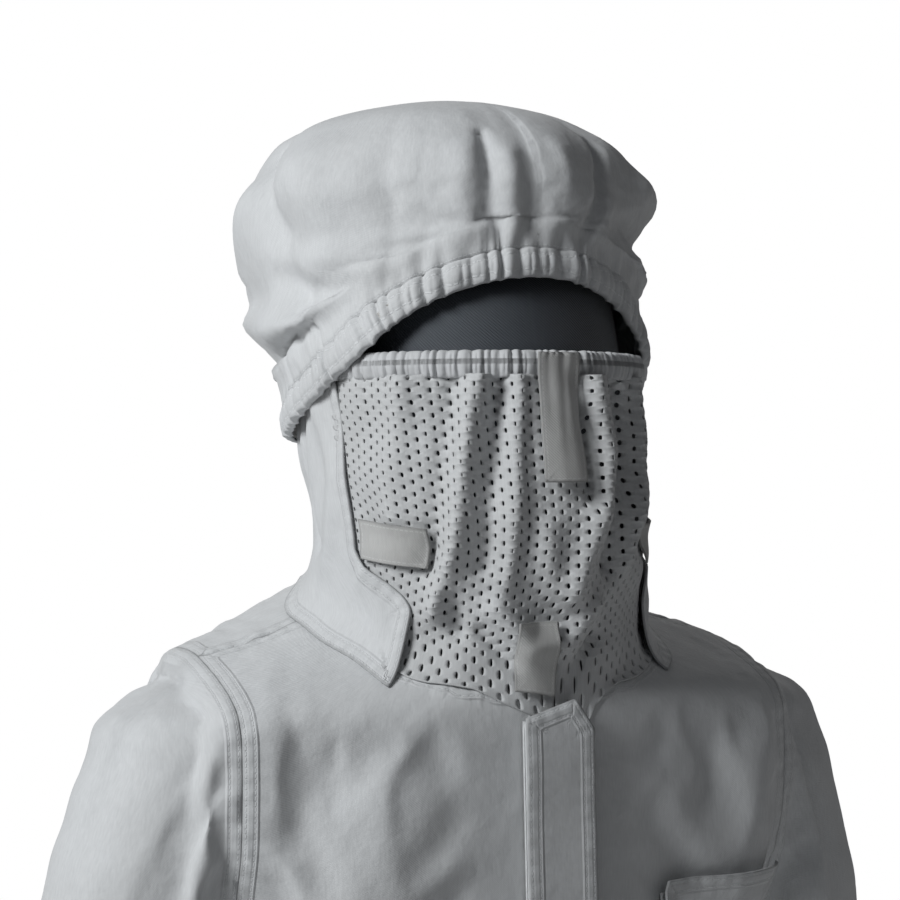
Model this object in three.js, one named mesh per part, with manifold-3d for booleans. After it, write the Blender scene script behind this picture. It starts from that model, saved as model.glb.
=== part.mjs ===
// A beekeeper's one-piece hooded suit in white cotton, filled out as it is when somebody wears it.
// Millimetres, +Z up, front towards -Y, the wearer's left towards +X.
// The origin is the middle of the neck base, where the suit rests on the wearer's shoulders.
import * as THREE from "three";
import { LoftGeometry } from "three/addons/geometries/LoftGeometry.js";
import { mergeVertices } from "three/addons/utils/BufferGeometryUtils.js";
import Module from "manifold-3d";

const wasm = await Module();
wasm.setup();

// ---------- driving dimensions ----------
const CLOTH = 2; // wall of every cotton panel, with its seam allowances
const NET = 1.2; // wall of the veil and of the face screen
const TAPE = 1.4; // wall of the sewn-on tapes and pads
const FIT = 0.5; // gap between two pieces that are sewn together or lie on each other
const CLEAR = 1; // gap beside a piece that moves

const HEM_Z = -1450; // ankle hems, on the floor
const CROTCH_Z = -700;
const WAIST_Z = -400;
const ZIP_TOP_Z = -45;
const ZIP_END_Z = -640;
const CROWN_TOP_Z = 354;
const VEIL_TOP_Z = 167;
const ARMHOLE_X = 184.5; // plane of both armhole seams

const BRIM_BAND = 18; // heights of the four kinds of gathered casing
const VEIL_BAND = 16;
const CUFF_BAND = 26;
const HEM_BAND = 36;
const WAIST_BAND = 34;
const CASING_LIP = 5; // how far a casing's lips reach over its elastic
const CASING_WALL = 1.2;
const ELASTIC = 1.5;

const HEAD_SIDES = 30; // facets round the hood, the trunk, an arm and a leg
const TRUNK_SIDES = 28;
const LIMB_SIDES = 18;

const CUFF_R = 43;
const HEM_R = 72;
const ANKLE_X = 135; // from the middle of the suit to the middle of each ankle

const FLAP = { width: 45, stand: 5.8, thickness: 2, length: 585 };
const CHAIN = { width: 6, depth: 2.4 };
const ZIP_GAP = 14; // between the edges of the two front panels
const ZIP_TAPE = { width: 14, depth: 0.9 };
const SLIDER = { length: 11, width: 9.5, plate: 1.2 };
const BRIDGE = { width: 2, length: 6, height: 4.2, wall: 1.7 };
const PULL = { length: 29, width: 8, depth: 1.2, bar: 1.3, eye: 3.6 };

// ---------- materials ----------
const cloth = (color, roughness = 0.9) => new THREE.MeshStandardMaterial({ color, roughness, metalness: 0 });
const cotton = cloth(0xd9dcdf);
const veilNet = cloth(0xcfd2d4, 0.85);
const tapeCotton = cloth(0xcac9c4);
const blackNet = cloth(0x1d2228, 0.6);
const elasticRubber = cloth(0xe4e2dc, 0.95);
const boning = cloth(0x2a2c2f, 0.4);
const zipBrass = new THREE.MeshStandardMaterial({ color: 0xa58a4c, roughness: 0.35, metalness: 0.9 });

// ---------- shared tools ----------
const { degToRad, lerp, smoothstep } = THREE.MathUtils;
const FAR = 2500; // past the object on every side
const point = (x, y, z) => new THREE.Vector3(x, y, z);
const steps = (count) => Array.from({ length: count + 1 }, (_, i) => i / count);
const circle = (count) => steps(count).slice(0, -1).map((share) => 2 * Math.PI * share);
const root = new THREE.Group();

function addMesh(name, geometry, material, parent = root) {
  const mesh = new THREE.Mesh(geometry, material);
  mesh.name = name;
  parent.add(mesh);
  return mesh;
}

// A closed geometry as a manifold-3d solid, and back.
function solidOf(geometry) {
  const bare = geometry.index ? geometry.toNonIndexed() : geometry.clone();
  bare.deleteAttribute("normal");
  bare.deleteAttribute("uv");
  const merged = mergeVertices(bare, 1e-4);
  const vertProperties = merged.attributes.position.array;
  const triVerts = new Uint32Array(merged.index.array);
  return new wasm.Manifold(new wasm.Mesh({ numProp: 3, vertProperties, triVerts }));
}

function geometryOf(solid) {
  const mesh = solid.getMesh();
  const geometry = new THREE.BufferGeometry();
  geometry.setAttribute("position", new THREE.BufferAttribute(mesh.vertProperties, 3));
  geometry.setIndex(new THREE.BufferAttribute(mesh.triVerts, 1));
  geometry.computeVertexNormals();
  return geometry;
}

const joined = (solids) => solids.reduce((sum, solid) => sum.add(solid));

function boxGeometry(low, high) {
  const size = high.map((value, i) => value - low[i]);
  return new THREE.BoxGeometry(...size).translate(...low.map((value, i) => value + size[i] / 2));
}

// A flat shape from its corners, with an optional hole.
function shapeOf(outline, hole) {
  const shape = new THREE.Shape(outline.map(([x, y]) => new THREE.Vector2(x, y)));
  if (hole) shape.holes.push(new THREE.Path(hole.map(([x, y]) => new THREE.Vector2(x, y))));
  return shape;
}

// A garment's shape is a table of level sections from the top down. Each is an ellipse of half width a that
// reaches f in front of the axis and b behind it, around a middle x, and its back may rise by a tilt t.
function sectionAt(table, z) {
  const found = table.findIndex((row) => row.z <= z);
  const below = found < 0 ? table.length - 1 : found;
  const [low, high] = [table[below], table[Math.max(below - 1, 0)]];
  const share = high.z > low.z ? THREE.MathUtils.clamp((z - low.z) / (high.z - low.z), 0, 1) : 0;
  const mix = (key) => lerp(low[key] ?? 0, high[key] ?? 0, share);
  return { a: mix("a"), f: mix("f"), b: mix("b"), x: mix("x"), t: mix("t") };
}

// A point of a section. The angle runs from the front (0) by the wearer's left (90 degrees) to the back (180).
function onSection(table, angle, z, offset = 0) {
  const { a, f, b, x, t } = sectionAt(table, z);
  const [sine, cosine] = [Math.sin(angle), Math.cos(angle)];
  return point(x + (a + offset) * sine, (b - f) / 2 - ((b + f) / 2 + offset) * cosine, z - t * cosine);
}

// A tube that follows a table between two of its rows, listed from the bottom up.
function tube(table, offset, sides) {
  const rings = table.map(({ z }) => circle(sides).map((angle) => onSection(table, angle, z, offset)));
  return solidOf(new LoftGeometry(rings.reverse(), { capStart: true, capEnd: true }));
}

// A sheet of cloth on a table's surface. angle and height place a point of the sheet from its own two
// coordinates, across (growing with the angle) and up, both from 0 to 1.
function sheet(table, { angle, height, columns, rows, outer = 0, thickness = CLOTH }) {
  const loop = (up) => {
    const line = (offset) =>
      steps(columns).map((across) => onSection(table, angle(across, up), height(across, up), offset));
    return [...line(outer), ...line(outer - thickness).reverse()];
  };
  return new LoftGeometry(steps(rows).map(loop), { capStart: true, capEnd: true });
}

// A profile of [out, up] points, listed counterclockwise, swept along frames of {at, out, up}. The frames follow
// each other counterclockwise as seen from above, or from the side that up points to.
function sweep(frames, profile, closed) {
  const rings = frames.map(({ at, out, up }) =>
    profile.map(([r, z]) => at.clone().addScaledVector(out, r).addScaledVector(up, z)).reverse(),
  );
  if (closed) rings.push(rings[0]);
  return new LoftGeometry(rings, { capStart: !closed, capEnd: !closed });
}

// Upright frames on a table's surface, at a height that may depend on the angle.
function uprightFrames(table, angles, height, offset = 0) {
  return angles.map((angle) => ({
    at: onSection(table, angle, height(angle), offset),
    out: point(Math.sin(angle), -Math.cos(angle), 0),
    up: point(0, 0, 1),
  }));
}

// A casing is a fold of cloth, open on its inner side, in which an elastic lies.
function addCasing(name, elasticName, frames, band, { closed = true, material = cotton, parent = root } = {}) {
  const [lip, wall] = [CASING_LIP, CASING_WALL];
  const fold = [
    [0, 0],
    [0, band],
    [-lip, band],
    [-lip, band - wall],
    [-wall, band - wall],
    [-wall, wall],
    [-lip, wall],
    [-lip, 0],
  ];
  const [front, back] = [-wall - FIT, -wall - FIT - ELASTIC];
  const edge = wall + CLEAR;
  const strip = [
    [front, edge],
    [front, band - edge],
    [back, band - edge],
    [back, edge],
  ];
  addMesh(name, sweep(frames, fold, closed), material, parent);
  addMesh(elasticName, sweep(frames, strip, closed), elasticRubber, parent);
}

// ---------- lower hood: two cloth sides and the veil between them ----------
const NECK = [
  { z: 168, a: 106, f: 130, b: 150 },
  { z: 150, a: 106, f: 130, b: 146 },
  { z: 119, a: 105, f: 135, b: 137 },
  { z: 93, a: 104, f: 139, b: 127 },
  { z: 67, a: 102, f: 142, b: 114 },
  { z: 50, a: 99.5, f: 139, b: 105 },
  { z: 20, a: 97, f: 128, b: 105 },
  { z: -5, a: 97, f: 120, b: 105 },
  { z: -36, a: 97, f: 117, b: 105 },
];
const NECK_SEAM = { middle: 8, swing: 42 }; // lowest at the throat, highest at the back of the neck
const neckSeamZ = (angle) => NECK_SEAM.middle - NECK_SEAM.swing * Math.cos(angle);

// Half the veil's angle: wide over the cheeks, narrow at the throat.
const VEIL = { cheek: 78, throat: 50, bendLow: 10, bendHigh: 54, bandInset: 4, sideGap: 1.6, bottomGap: 2 };
const veilHalfAngle = (z) => lerp(VEIL.throat, VEIL.cheek, smoothstep(z, VEIL.bendLow, VEIL.bendHigh));
const SEAM_ANGLE = 0.35; // gap of an upright seam, in degrees

function buildHoodSide(name, side) {
  const top = VEIL_TOP_Z - 2;
  const angle = (across, up) => {
    const edge = veilHalfAngle(lerp(0, top, up)) + VEIL.sideGap;
    const share = side > 0 ? across : 1 - across;
    return degToRad(side * lerp(edge, 180 - SEAM_ANGLE, share));
  };
  const height = (across, up) => lerp(neckSeamZ(angle(across, up)), top, up);
  addMesh(name, sheet(NECK, { angle, height, columns: 9, rows: 6 }), cotton);
}

function buildVeil() {
  const bandBottom = VEIL_TOP_Z - VEIL_BAND;
  const netTop = bandBottom - FIT;
  const netBottom = (angle) => neckSeamZ(angle) + VEIL.bottomGap;
  const angle = (across, up) => {
    const half = veilHalfAngle(lerp(0, netTop, up));
    return degToRad(lerp(-half, half, across));
  };
  const height = (across, up) => lerp(netBottom(angle(across, up)), netTop, up);
  addMesh("veil_mesh", sheet(NECK, { angle, height, columns: 14, rows: 7, thickness: NET }), veilNet);

  const bandHalf = VEIL.cheek - VEIL.bandInset;
  const angles = steps(14).map((share) => degToRad(lerp(-bandHalf, bandHalf, share)));
  const frames = uprightFrames(NECK, angles, () => bandBottom);
  addCasing("veil_top_casing", "veil_elastic", frames, VEIL_BAND, { closed: false, material: veilNet });
}

// A tape or a fastening pad, sewn on the veil's outer face. Its edge further round the head hangs lower by droop.
function addPad(name, [from, to], [bottom, top], droop = 0) {
  const angle = (across) => degToRad(lerp(from, to, across));
  const height = (across, up) => lerp(bottom, top, up) - droop * across;
  addMesh(name, sheet(NECK, { angle, height, columns: 3, rows: 2, outer: FIT + TAPE, thickness: TAPE }), tapeCotton);
}

buildHoodSide("hood_side_left", 1);
buildHoodSide("hood_side_right", -1);
buildVeil();
addPad("nose_tape", [-6.5, 7.5], [89, VEIL_TOP_Z - CLEAR]);
addPad("side_pad_right", [-71, -47], [42, 66], 5);
addPad("side_pad_left", [47, 71], [37, 61], -5);
addPad("chin_pad", [-15, -1], [-27, 6]);

// ---------- crown of the hood ----------
// A full, gathered crown. Its brim stands high over the forehead and low over the ears and the nape.
const CROWN = [
  { z: CROWN_TOP_Z, a: 10, f: -38, b: 62 },
  { z: CROWN_TOP_Z - 2, a: 34, f: -8, b: 88 },
  { z: CROWN_TOP_Z - 9, a: 66, f: 28, b: 125 },
  { z: CROWN_TOP_Z - 24, a: 100, f: 66, b: 160 },
  { z: CROWN_TOP_Z - 44, a: 121, f: 92, b: 184 },
  { z: CROWN_TOP_Z - 71, a: 133, f: 105, b: 194 },
  { z: CROWN_TOP_Z - 104, a: 129, f: 104, b: 195 },
  { z: 228, a: 127, f: 104, b: 194 },
  { z: 202, a: 124, f: 106, b: 190 },
  { z: 189, a: 121, f: 108, b: 184 },
  { z: 170, a: 117, f: 130, b: 172 },
  { z: 150, a: 114.5, f: 136, b: 158 },
  { z: 131, a: 114, f: 138, b: 152 },
  { z: 100, a: 114, f: 140, b: 149 },
];
const BRIM = { middle: 148, swing: 50, arch: 15 };
const brimZ = (angle) => BRIM.middle + BRIM.swing * Math.cos(angle) + BRIM.arch * Math.cos(2 * angle);

// The crown is a hollow dome, trimmed along the upper edge of its brim.
function buildCrown() {
  const rises = [0, 0.25, 0.46, 0.65, 0.8, 0.91, 0.97, 0.995];
  const trim = 10; // how far the untrimmed dome reaches below the brim's upper edge
  const edgeZ = (angle) => brimZ(angle) + BRIM_BAND + FIT;
  const dome = (offset, spare) => {
    const ring = (rise) =>
      circle(HEAD_SIDES).map((angle) => {
        const place = onSection(CROWN, angle, lerp(edgeZ(angle) - spare, CROWN_TOP_Z, rise), offset);
        place.z += offset * rise;
        return place;
      });
    return solidOf(new LoftGeometry(rises.map(ring), { capStart: true, capEnd: true }));
  };
  const waste = [
    [trim, -3 * trim],
    [trim, 0],
    [-trim, 0],
    [-trim, -3 * trim],
  ];
  const shell = dome(0, trim).subtract(dome(-CLOTH, 2 * trim));
  const belowEdge = solidOf(sweep(uprightFrames(CROWN, circle(HEAD_SIDES), edgeZ), waste, true));
  addMesh("hood_crown", geometryOf(shell.subtract(belowEdge)), cotton);
  addCasing("brim_casing", "brim_elastic", uprightFrames(CROWN, circle(HEAD_SIDES), brimZ), BRIM_BAND);
}
buildCrown();

// ---------- black screen inside the hood, on two boned hoops ----------
const SCREEN = [
  { z: 246, a: 72, f: 68, b: 62 },
  { z: 205, a: 90, f: 97, b: 89 },
  { z: 170, a: 92, f: 108, b: 98 },
  { z: 90, a: 92, f: 120, b: 110 },
  { z: 0, a: 86, f: 104, b: 94 },
];
const SCREEN_EDGE = { span: 88, bottom: 4, top: 246 };
const HOOP = { height: 7, thickness: 1.6, upperZ: 218, lowerZ: 16, slack: 1.5 };
const TAB = { width: 12, height: 14, slack: 2.5 };

function buildScreen() {
  const angle = (across) => degToRad(lerp(-SCREEN_EDGE.span, SCREEN_EDGE.span, across));
  const height = (_, up) => lerp(SCREEN_EDGE.bottom, SCREEN_EDGE.top, up);
  addMesh("face_screen", sheet(SCREEN, { angle, height, columns: 12, rows: 6, thickness: NET }), blackNet);
  const outer = -NET - HOOP.slack;
  for (const [name, z] of [["upper_hoop", HOOP.upperZ], ["lower_hoop", HOOP.lowerZ]]) {
    const level = (_, up) => z + HOOP.height * up;
    const { thickness } = HOOP;
    addMesh(name, sheet(SCREEN, { angle, height: level, columns: 12, rows: 1, outer, thickness }), boning);
  }
}

// Four short tabs hold the screen's side edges to the cloth sides of the hood.
function buildScreenTab(name, side, z) {
  const inner = onSection(SCREEN, degToRad(SCREEN_EDGE.span), z);
  const { a, f, b } = sectionAt(NECK, z);
  const reach = (inner.y - (b - f) / 2) / ((b + f) / 2);
  const outerX = a * Math.sqrt(1 - reach * reach) - CLOTH - TAB.slack;
  const xs = [side * (inner.x + CLEAR), side * outerX].sort((m, n) => m - n);
  const low = [xs[0], inner.y - TAB.width / 2, z - TAB.height / 2];
  const high = [xs[1], inner.y + TAB.width / 2, z + TAB.height / 2];
  addMesh(name, boxGeometry(low, high), tapeCotton);
}
buildScreen();
buildScreenTab("upper_screen_tab_left", 1, 146);
buildScreenTab("upper_screen_tab_right", -1, 146);
buildScreenTab("lower_screen_tab_left", 1, 36);
buildScreenTab("lower_screen_tab_right", -1, 36);

// ---------- binding inside the neck seam, and the hang loop behind it ----------
const BINDING = { half: 6, slack: 1.5 };
const HANG_LOOP = { half: 15, drop: 30, band: 6 };

function buildNeckBinding() {
  const [front, back] = [-CLOTH - BINDING.slack, -CLOTH - BINDING.slack - TAPE];
  const { half } = BINDING;
  const profile = [
    [front, -half],
    [front, half],
    [back, half],
    [back, -half],
  ];
  const frames = uprightFrames(NECK, circle(HEAD_SIDES), neckSeamZ);
  addMesh("neck_binding", sweep(frames, profile, true), tapeCotton);
}

// The loop is a tape folded square, with both ends sewn to the binding at the back of the neck.
function buildHangLoop() {
  const { half, drop, band } = HANG_LOOP;
  const loop = shapeOf([
    [-half, 0],
    [-half, -drop],
    [half, -drop],
    [half, 0],
    [half - band, 0],
    [half - band, band - drop],
    [band - half, band - drop],
    [band - half, 0],
  ]);
  const strip = new THREE.ExtrudeGeometry(loop, { depth: TAPE, bevelEnabled: false });
  const nape = onSection(NECK, Math.PI, neckSeamZ(Math.PI));
  const bindingInside = nape.y - CLOTH - BINDING.slack - TAPE;
  strip.rotateX(Math.PI / 2);
  strip.translate(0, bindingInside - 3 * CLEAR, nape.z + BINDING.half);
  addMesh("hang_loop", strip, tapeCotton);
}
buildNeckBinding();
buildHangLoop();

// ---------- body of the suit ----------
const FRONT = { topDepth: 122, endDepth: 150 }; // the front is straight along the zip
const zipSlope = (FRONT.endDepth - FRONT.topDepth) / (ZIP_TOP_Z - ZIP_END_Z);
const frontDepth = (z) => FRONT.topDepth + zipSlope * (ZIP_TOP_Z - z);

const BODY = [
  { z: NECK_SEAM.middle - FIT, a: 97, f: 117, b: 105, t: NECK_SEAM.swing },
  { z: 2, a: 112, f: 118.5, b: 110, t: 37.5 },
  { z: -4, a: 130, f: 119.2, b: 114, t: 32.5 },
  { z: -10, a: 150, f: 119.9, b: 117, t: 28 },
  { z: -17, a: 177, f: 120.6, b: 119, t: 23 },
  { z: -27, a: 210, f: 121.2, b: 121, t: 15.5 },
  { z: -38, a: 240, f: 121.7, b: 123, t: 8 },
  { z: -50, a: 261, f: frontDepth(-50), b: 124 },
  { z: -66, a: 267, f: frontDepth(-66), b: 125 },
  { z: -100, a: 268, f: frontDepth(-100), b: 129 },
  { z: -145, a: 244, f: frontDepth(-145), b: 131 },
  { z: -178, a: 208, f: frontDepth(-178), b: 131 },
  { z: -205, a: 186, f: frontDepth(-205), b: 130 },
  { z: -260, a: 180, f: frontDepth(-260), b: 127 },
  { z: WAIST_Z, a: 174, f: frontDepth(WAIST_Z), b: 118 },
  { z: -500, a: 188, f: frontDepth(-500), b: 128 },
  { z: -600, a: 203, f: frontDepth(-600), b: 138 },
  { z: ZIP_END_Z, a: 205, f: frontDepth(ZIP_END_Z), b: 139 },
  { z: CROTCH_Z, a: 206, f: frontDepth(ZIP_END_Z), b: 140 },
  { z: CROTCH_Z - 22, a: 140, f: 96, b: 90 },
  { z: CROTCH_Z - 40, a: 70, f: 50, b: 48 },
];

const legTable = (side) => [
  { z: -600, a: 78, f: 110, b: 104, x: side * 90 },
  { z: -700, a: 101, f: 138, b: 132, x: side * 104 },
  { z: -820, a: 98, f: 122, b: 118, x: side * 110 },
  { z: -1000, a: 91, f: 104, b: 100, x: side * 119 },
  { z: -1200, a: 86, f: 92, b: 94, x: side * 128 },
  { z: HEM_Z + HEM_BAND + FIT, a: 79, f: 82, b: 84, x: side * ANKLE_X },
];

// Each row of the arm is a place on its middle line, with its half depth and its half width across the arm.
const ARM = [
  { at: [205, 0, -75], depth: 74, width: 60 },
  { at: [216, 0, -115], depth: 76, width: 63 },
  { at: [230, 0, -165], depth: 75, width: 63 },
  { at: [246, 1, -225], depth: 69, width: 60 },
  { at: [262, 2, -320], depth: 62, width: 56 },
  { at: [276, -6, -420], depth: 57, width: 52 },
  { at: [291, -22, -510], depth: 53, width: 50 },
  { at: [303, -40, -585], depth: CUFF_R + 5, width: CUFF_R + 4 },
];

// The axes of an arm's ring: down the arm, level across it, and the third one.
function armAxes(side, row) {
  const place = (i) => point(side * ARM[i].at[0], ARM[i].at[1], ARM[i].at[2]);
  const [before, after] = [Math.max(row - 1, 0), Math.min(row + 1, ARM.length - 1)];
  const along = place(after).sub(place(before)).normalize();
  const first = point(0, 1, 0).addScaledVector(along, -along.y).normalize();
  return { at: place(row), along, first, second: new THREE.Vector3().crossVectors(along, first) };
}

function armTube(side, offset, beyond = 0) {
  const rings = ARM.map(({ depth, width }, row) => {
    const { at, along, first, second } = armAxes(side, row);
    if (row === ARM.length - 1) at.addScaledVector(along, beyond);
    return circle(LIMB_SIDES).map((angle) =>
      at
        .clone()
        .addScaledVector(first, (depth + offset) * Math.cos(angle))
        .addScaledVector(second, (width + offset) * Math.sin(angle)),
    );
  });
  return solidOf(new LoftGeometry(rings, { capStart: true, capEnd: true }));
}

// The trunk and the legs without the arms, and all that is hollow inside the suit.
function trunkAndHollow() {
  const lowered = (table) => table.map((row) => ({ ...row, z: row.z - CLOTH }));
  const openNeck = { ...BODY[0], z: BODY[0].z + 60 };
  const lifted = BODY.slice(-3).map((row) => ({ ...row, z: row.z + CLOTH }));
  const bodyHollow = [openNeck, ...lowered(BODY.slice(0, -3)), ...lifted];
  const opened = (table) => [...table.slice(0, -1), { ...table.at(-1), z: table.at(-1).z - 10 }];
  const trunk = joined([tube(BODY, 0, TRUNK_SIDES), ...[1, -1].map((side) => tube(legTable(side), 0, LIMB_SIDES))]);
  const hollow = joined([
    tube(bodyHollow, -CLOTH, TRUNK_SIDES),
    ...[1, -1].map((side) => tube(opened(legTable(side)), -CLOTH, LIMB_SIDES)),
    ...[1, -1].map((side) => armTube(side, -CLOTH, 20)),
  ]);
  return { trunk, hollow };
}

const HALF_SEAM = FIT / 2;
const sideSpan = (side, from, to) => (side > 0 ? [from, to] : [-to, -from]);

function cutOut(name, solid, boxes) {
  const region = joined(boxes.map(([low, high]) => solidOf(boxGeometry(low, high))));
  addMesh(name, geometryOf(solid.intersect(region)), cotton);
}

// The seams are cut by planes: shoulder and side seams at y = 0, the waist level, the armholes upright.
function buildGarment() {
  const { trunk, hollow } = trunkAndHollow();
  const shell = trunk.subtract(hollow);
  const chest = trunk.intersect(solidOf(boxGeometry([-FAR, -FAR, WAIST_Z], [FAR, FAR, FAR])));
  const armhole = ARMHOLE_X - HALF_SEAM;
  const above = WAIST_Z + HALF_SEAM;
  const below = WAIST_Z - HALF_SEAM;
  cutOut("back_panel", shell, [[[-armhole, HALF_SEAM, above], [armhole, FAR, FAR]]]);
  for (const [side, label] of [[1, "left"], [-1, "right"]]) {
    const fromZip = sideSpan(side, ZIP_GAP / 2, FAR);
    const fromMiddle = sideSpan(side, HALF_SEAM, FAR);
    const toArmhole = sideSpan(side, ZIP_GAP / 2, armhole);
    cutOut(`front_panel_${label}`, shell, [[[toArmhole[0], -FAR, above], [toArmhole[1], -HALF_SEAM, FAR]]]);
    cutOut(`trouser_front_${label}`, shell, [
      [[fromZip[0], -FAR, ZIP_END_Z - 1], [fromZip[1], -HALF_SEAM, below]],
      [[fromMiddle[0], -FAR, -FAR], [fromMiddle[1], -HALF_SEAM, ZIP_END_Z]],
    ]);
    cutOut(`trouser_back_${label}`, shell, [[[fromMiddle[0], HALF_SEAM, -FAR], [fromMiddle[1], FAR, below]]]);
    const beyondArmhole = sideSpan(side, ARMHOLE_X + HALF_SEAM, FAR);
    const withArm = chest.add(armTube(side, 0)).subtract(hollow);
    cutOut(`sleeve_${label}`, withArm, [[[beyondArmhole[0], -FAR, -FAR], [beyondArmhole[1], FAR, FAR]]]);
  }
}
buildGarment();

// ---------- gathered cuffs, hems and waist ----------
function buildCuff(side, label) {
  const { at, along, first, second } = armAxes(side, ARM.length - 1);
  const base = at.addScaledVector(along, CUFF_BAND + CLEAR);
  const frames = circle(LIMB_SIDES).map((angle) => {
    const out = first.clone().multiplyScalar(-Math.cos(angle)).addScaledVector(second, Math.sin(angle));
    return { at: base.clone().addScaledVector(out, CUFF_R), out, up: along.clone().negate() };
  });
  addCasing(`cuff_casing_${label}`, `cuff_elastic_${label}`, frames, CUFF_BAND);
}

function buildHem(side, label) {
  const ring = [{ z: HEM_Z, a: HEM_R, f: HEM_R, b: HEM_R, x: side * ANKLE_X }];
  const frames = uprightFrames(ring, circle(LIMB_SIDES), () => HEM_Z);
  addCasing(`hem_casing_${label}`, `hem_elastic_${label}`, frames, HEM_BAND);
}

// The waist is gathered only across the back.
function buildWaist() {
  const bottom = WAIST_Z - WAIST_BAND / 2;
  const angles = steps(12).map((share) => degToRad(lerp(108, 252, share)));
  const frames = uprightFrames(BODY, angles, () => bottom, CASING_LIP + CLEAR);
  addCasing("waist_casing", "waist_elastic", frames, WAIST_BAND, { closed: false });
}

for (const [side, label] of [[1, "left"], [-1, "right"]]) {
  buildCuff(side, label);
  buildHem(side, label);
}
buildWaist();

// ---------- pockets ----------
// A patch pocket on the body's front, between two angles and two heights.
function patchPocket(name, [from, to], [bottom, top], slant = 0, lift = 0) {
  const angle = (across) => degToRad(lerp(from, to, across));
  const height = (across, up) => lerp(bottom, top - slant * across, up);
  const outer = FIT + CLOTH + lift;
  addMesh(name, sheet(BODY, { angle, height, columns: 5, rows: 3, outer }), cotton);
}
const CHEST_POCKET = { span: [20, 45], bottom: -300, top: -165, flapRise: 8, flapDrop: 38 };
const chestPocketLevels = [CHEST_POCKET.bottom, CHEST_POCKET.top];
const chestFlapLevels = [CHEST_POCKET.top - CHEST_POCKET.flapDrop, CHEST_POCKET.top + CHEST_POCKET.flapRise];
patchPocket("chest_pocket", CHEST_POCKET.span, chestPocketLevels);
patchPocket("chest_pocket_flap", CHEST_POCKET.span, chestFlapLevels, 0, CLOTH + 2 * CLEAR);
const HIP_POCKET = { from: 30, to: 62, bottom: -655, top: -480, slant: 55, lift: 1.5 };
patchPocket(
  "hip_pocket_left",
  [HIP_POCKET.from, HIP_POCKET.to],
  [HIP_POCKET.bottom, HIP_POCKET.top],
  HIP_POCKET.slant,
  HIP_POCKET.lift,
);
patchPocket(
  "hip_pocket_right",
  [-HIP_POCKET.to, -HIP_POCKET.from],
  [HIP_POCKET.bottom, HIP_POCKET.top - HIP_POCKET.slant],
  -HIP_POCKET.slant,
  HIP_POCKET.lift,
);

// ---------- front zip and the flap over it ----------
// The placket's own frame starts at the top of the zip on the front surface, with -Y out of the suit.
const placket = new THREE.Group();
placket.position.set(0, -FRONT.topDepth, ZIP_TOP_Z);
placket.rotation.x = -Math.atan(zipSlope);
root.add(placket);

const ZIP_LENGTH = (ZIP_TOP_Z - ZIP_END_Z) / Math.cos(placket.rotation.x) - 6;
const tapeFront = CLOTH + 4 * FIT;
const chainBack = tapeFront - FIT;
const chainFront = chainBack - CHAIN.depth;
const SLIDER_DROP = 8; // from the top of the zip down to the slider
const STOP = 5; // height of the stop at the end of the chain

function buildZip() {
  for (const [side, label] of [[1, "left"], [-1, "right"]]) {
    const [from, to] = sideSpan(side, HALF_SEAM, ZIP_TAPE.width);
    const strip = boxGeometry([from, tapeFront, -ZIP_LENGTH], [to, tapeFront + ZIP_TAPE.depth, 0]);
    addMesh(`zip_tape_${label}`, strip, tapeCotton, placket);
  }
  const half = CHAIN.width / 2;
  const stopTop = -ZIP_LENGTH + STOP;
  const chain = boxGeometry([-half, chainFront, stopTop + FIT], [half, chainBack, -SLIDER.length / 2]);
  addMesh("zip_chain", chain, zipBrass, placket);
  const stop = boxGeometry([-half - 1, chainFront, -ZIP_LENGTH], [half + 1, chainBack, stopTop]);
  addMesh("zip_bottom_stop", stop, zipBrass, placket);
}

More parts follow.
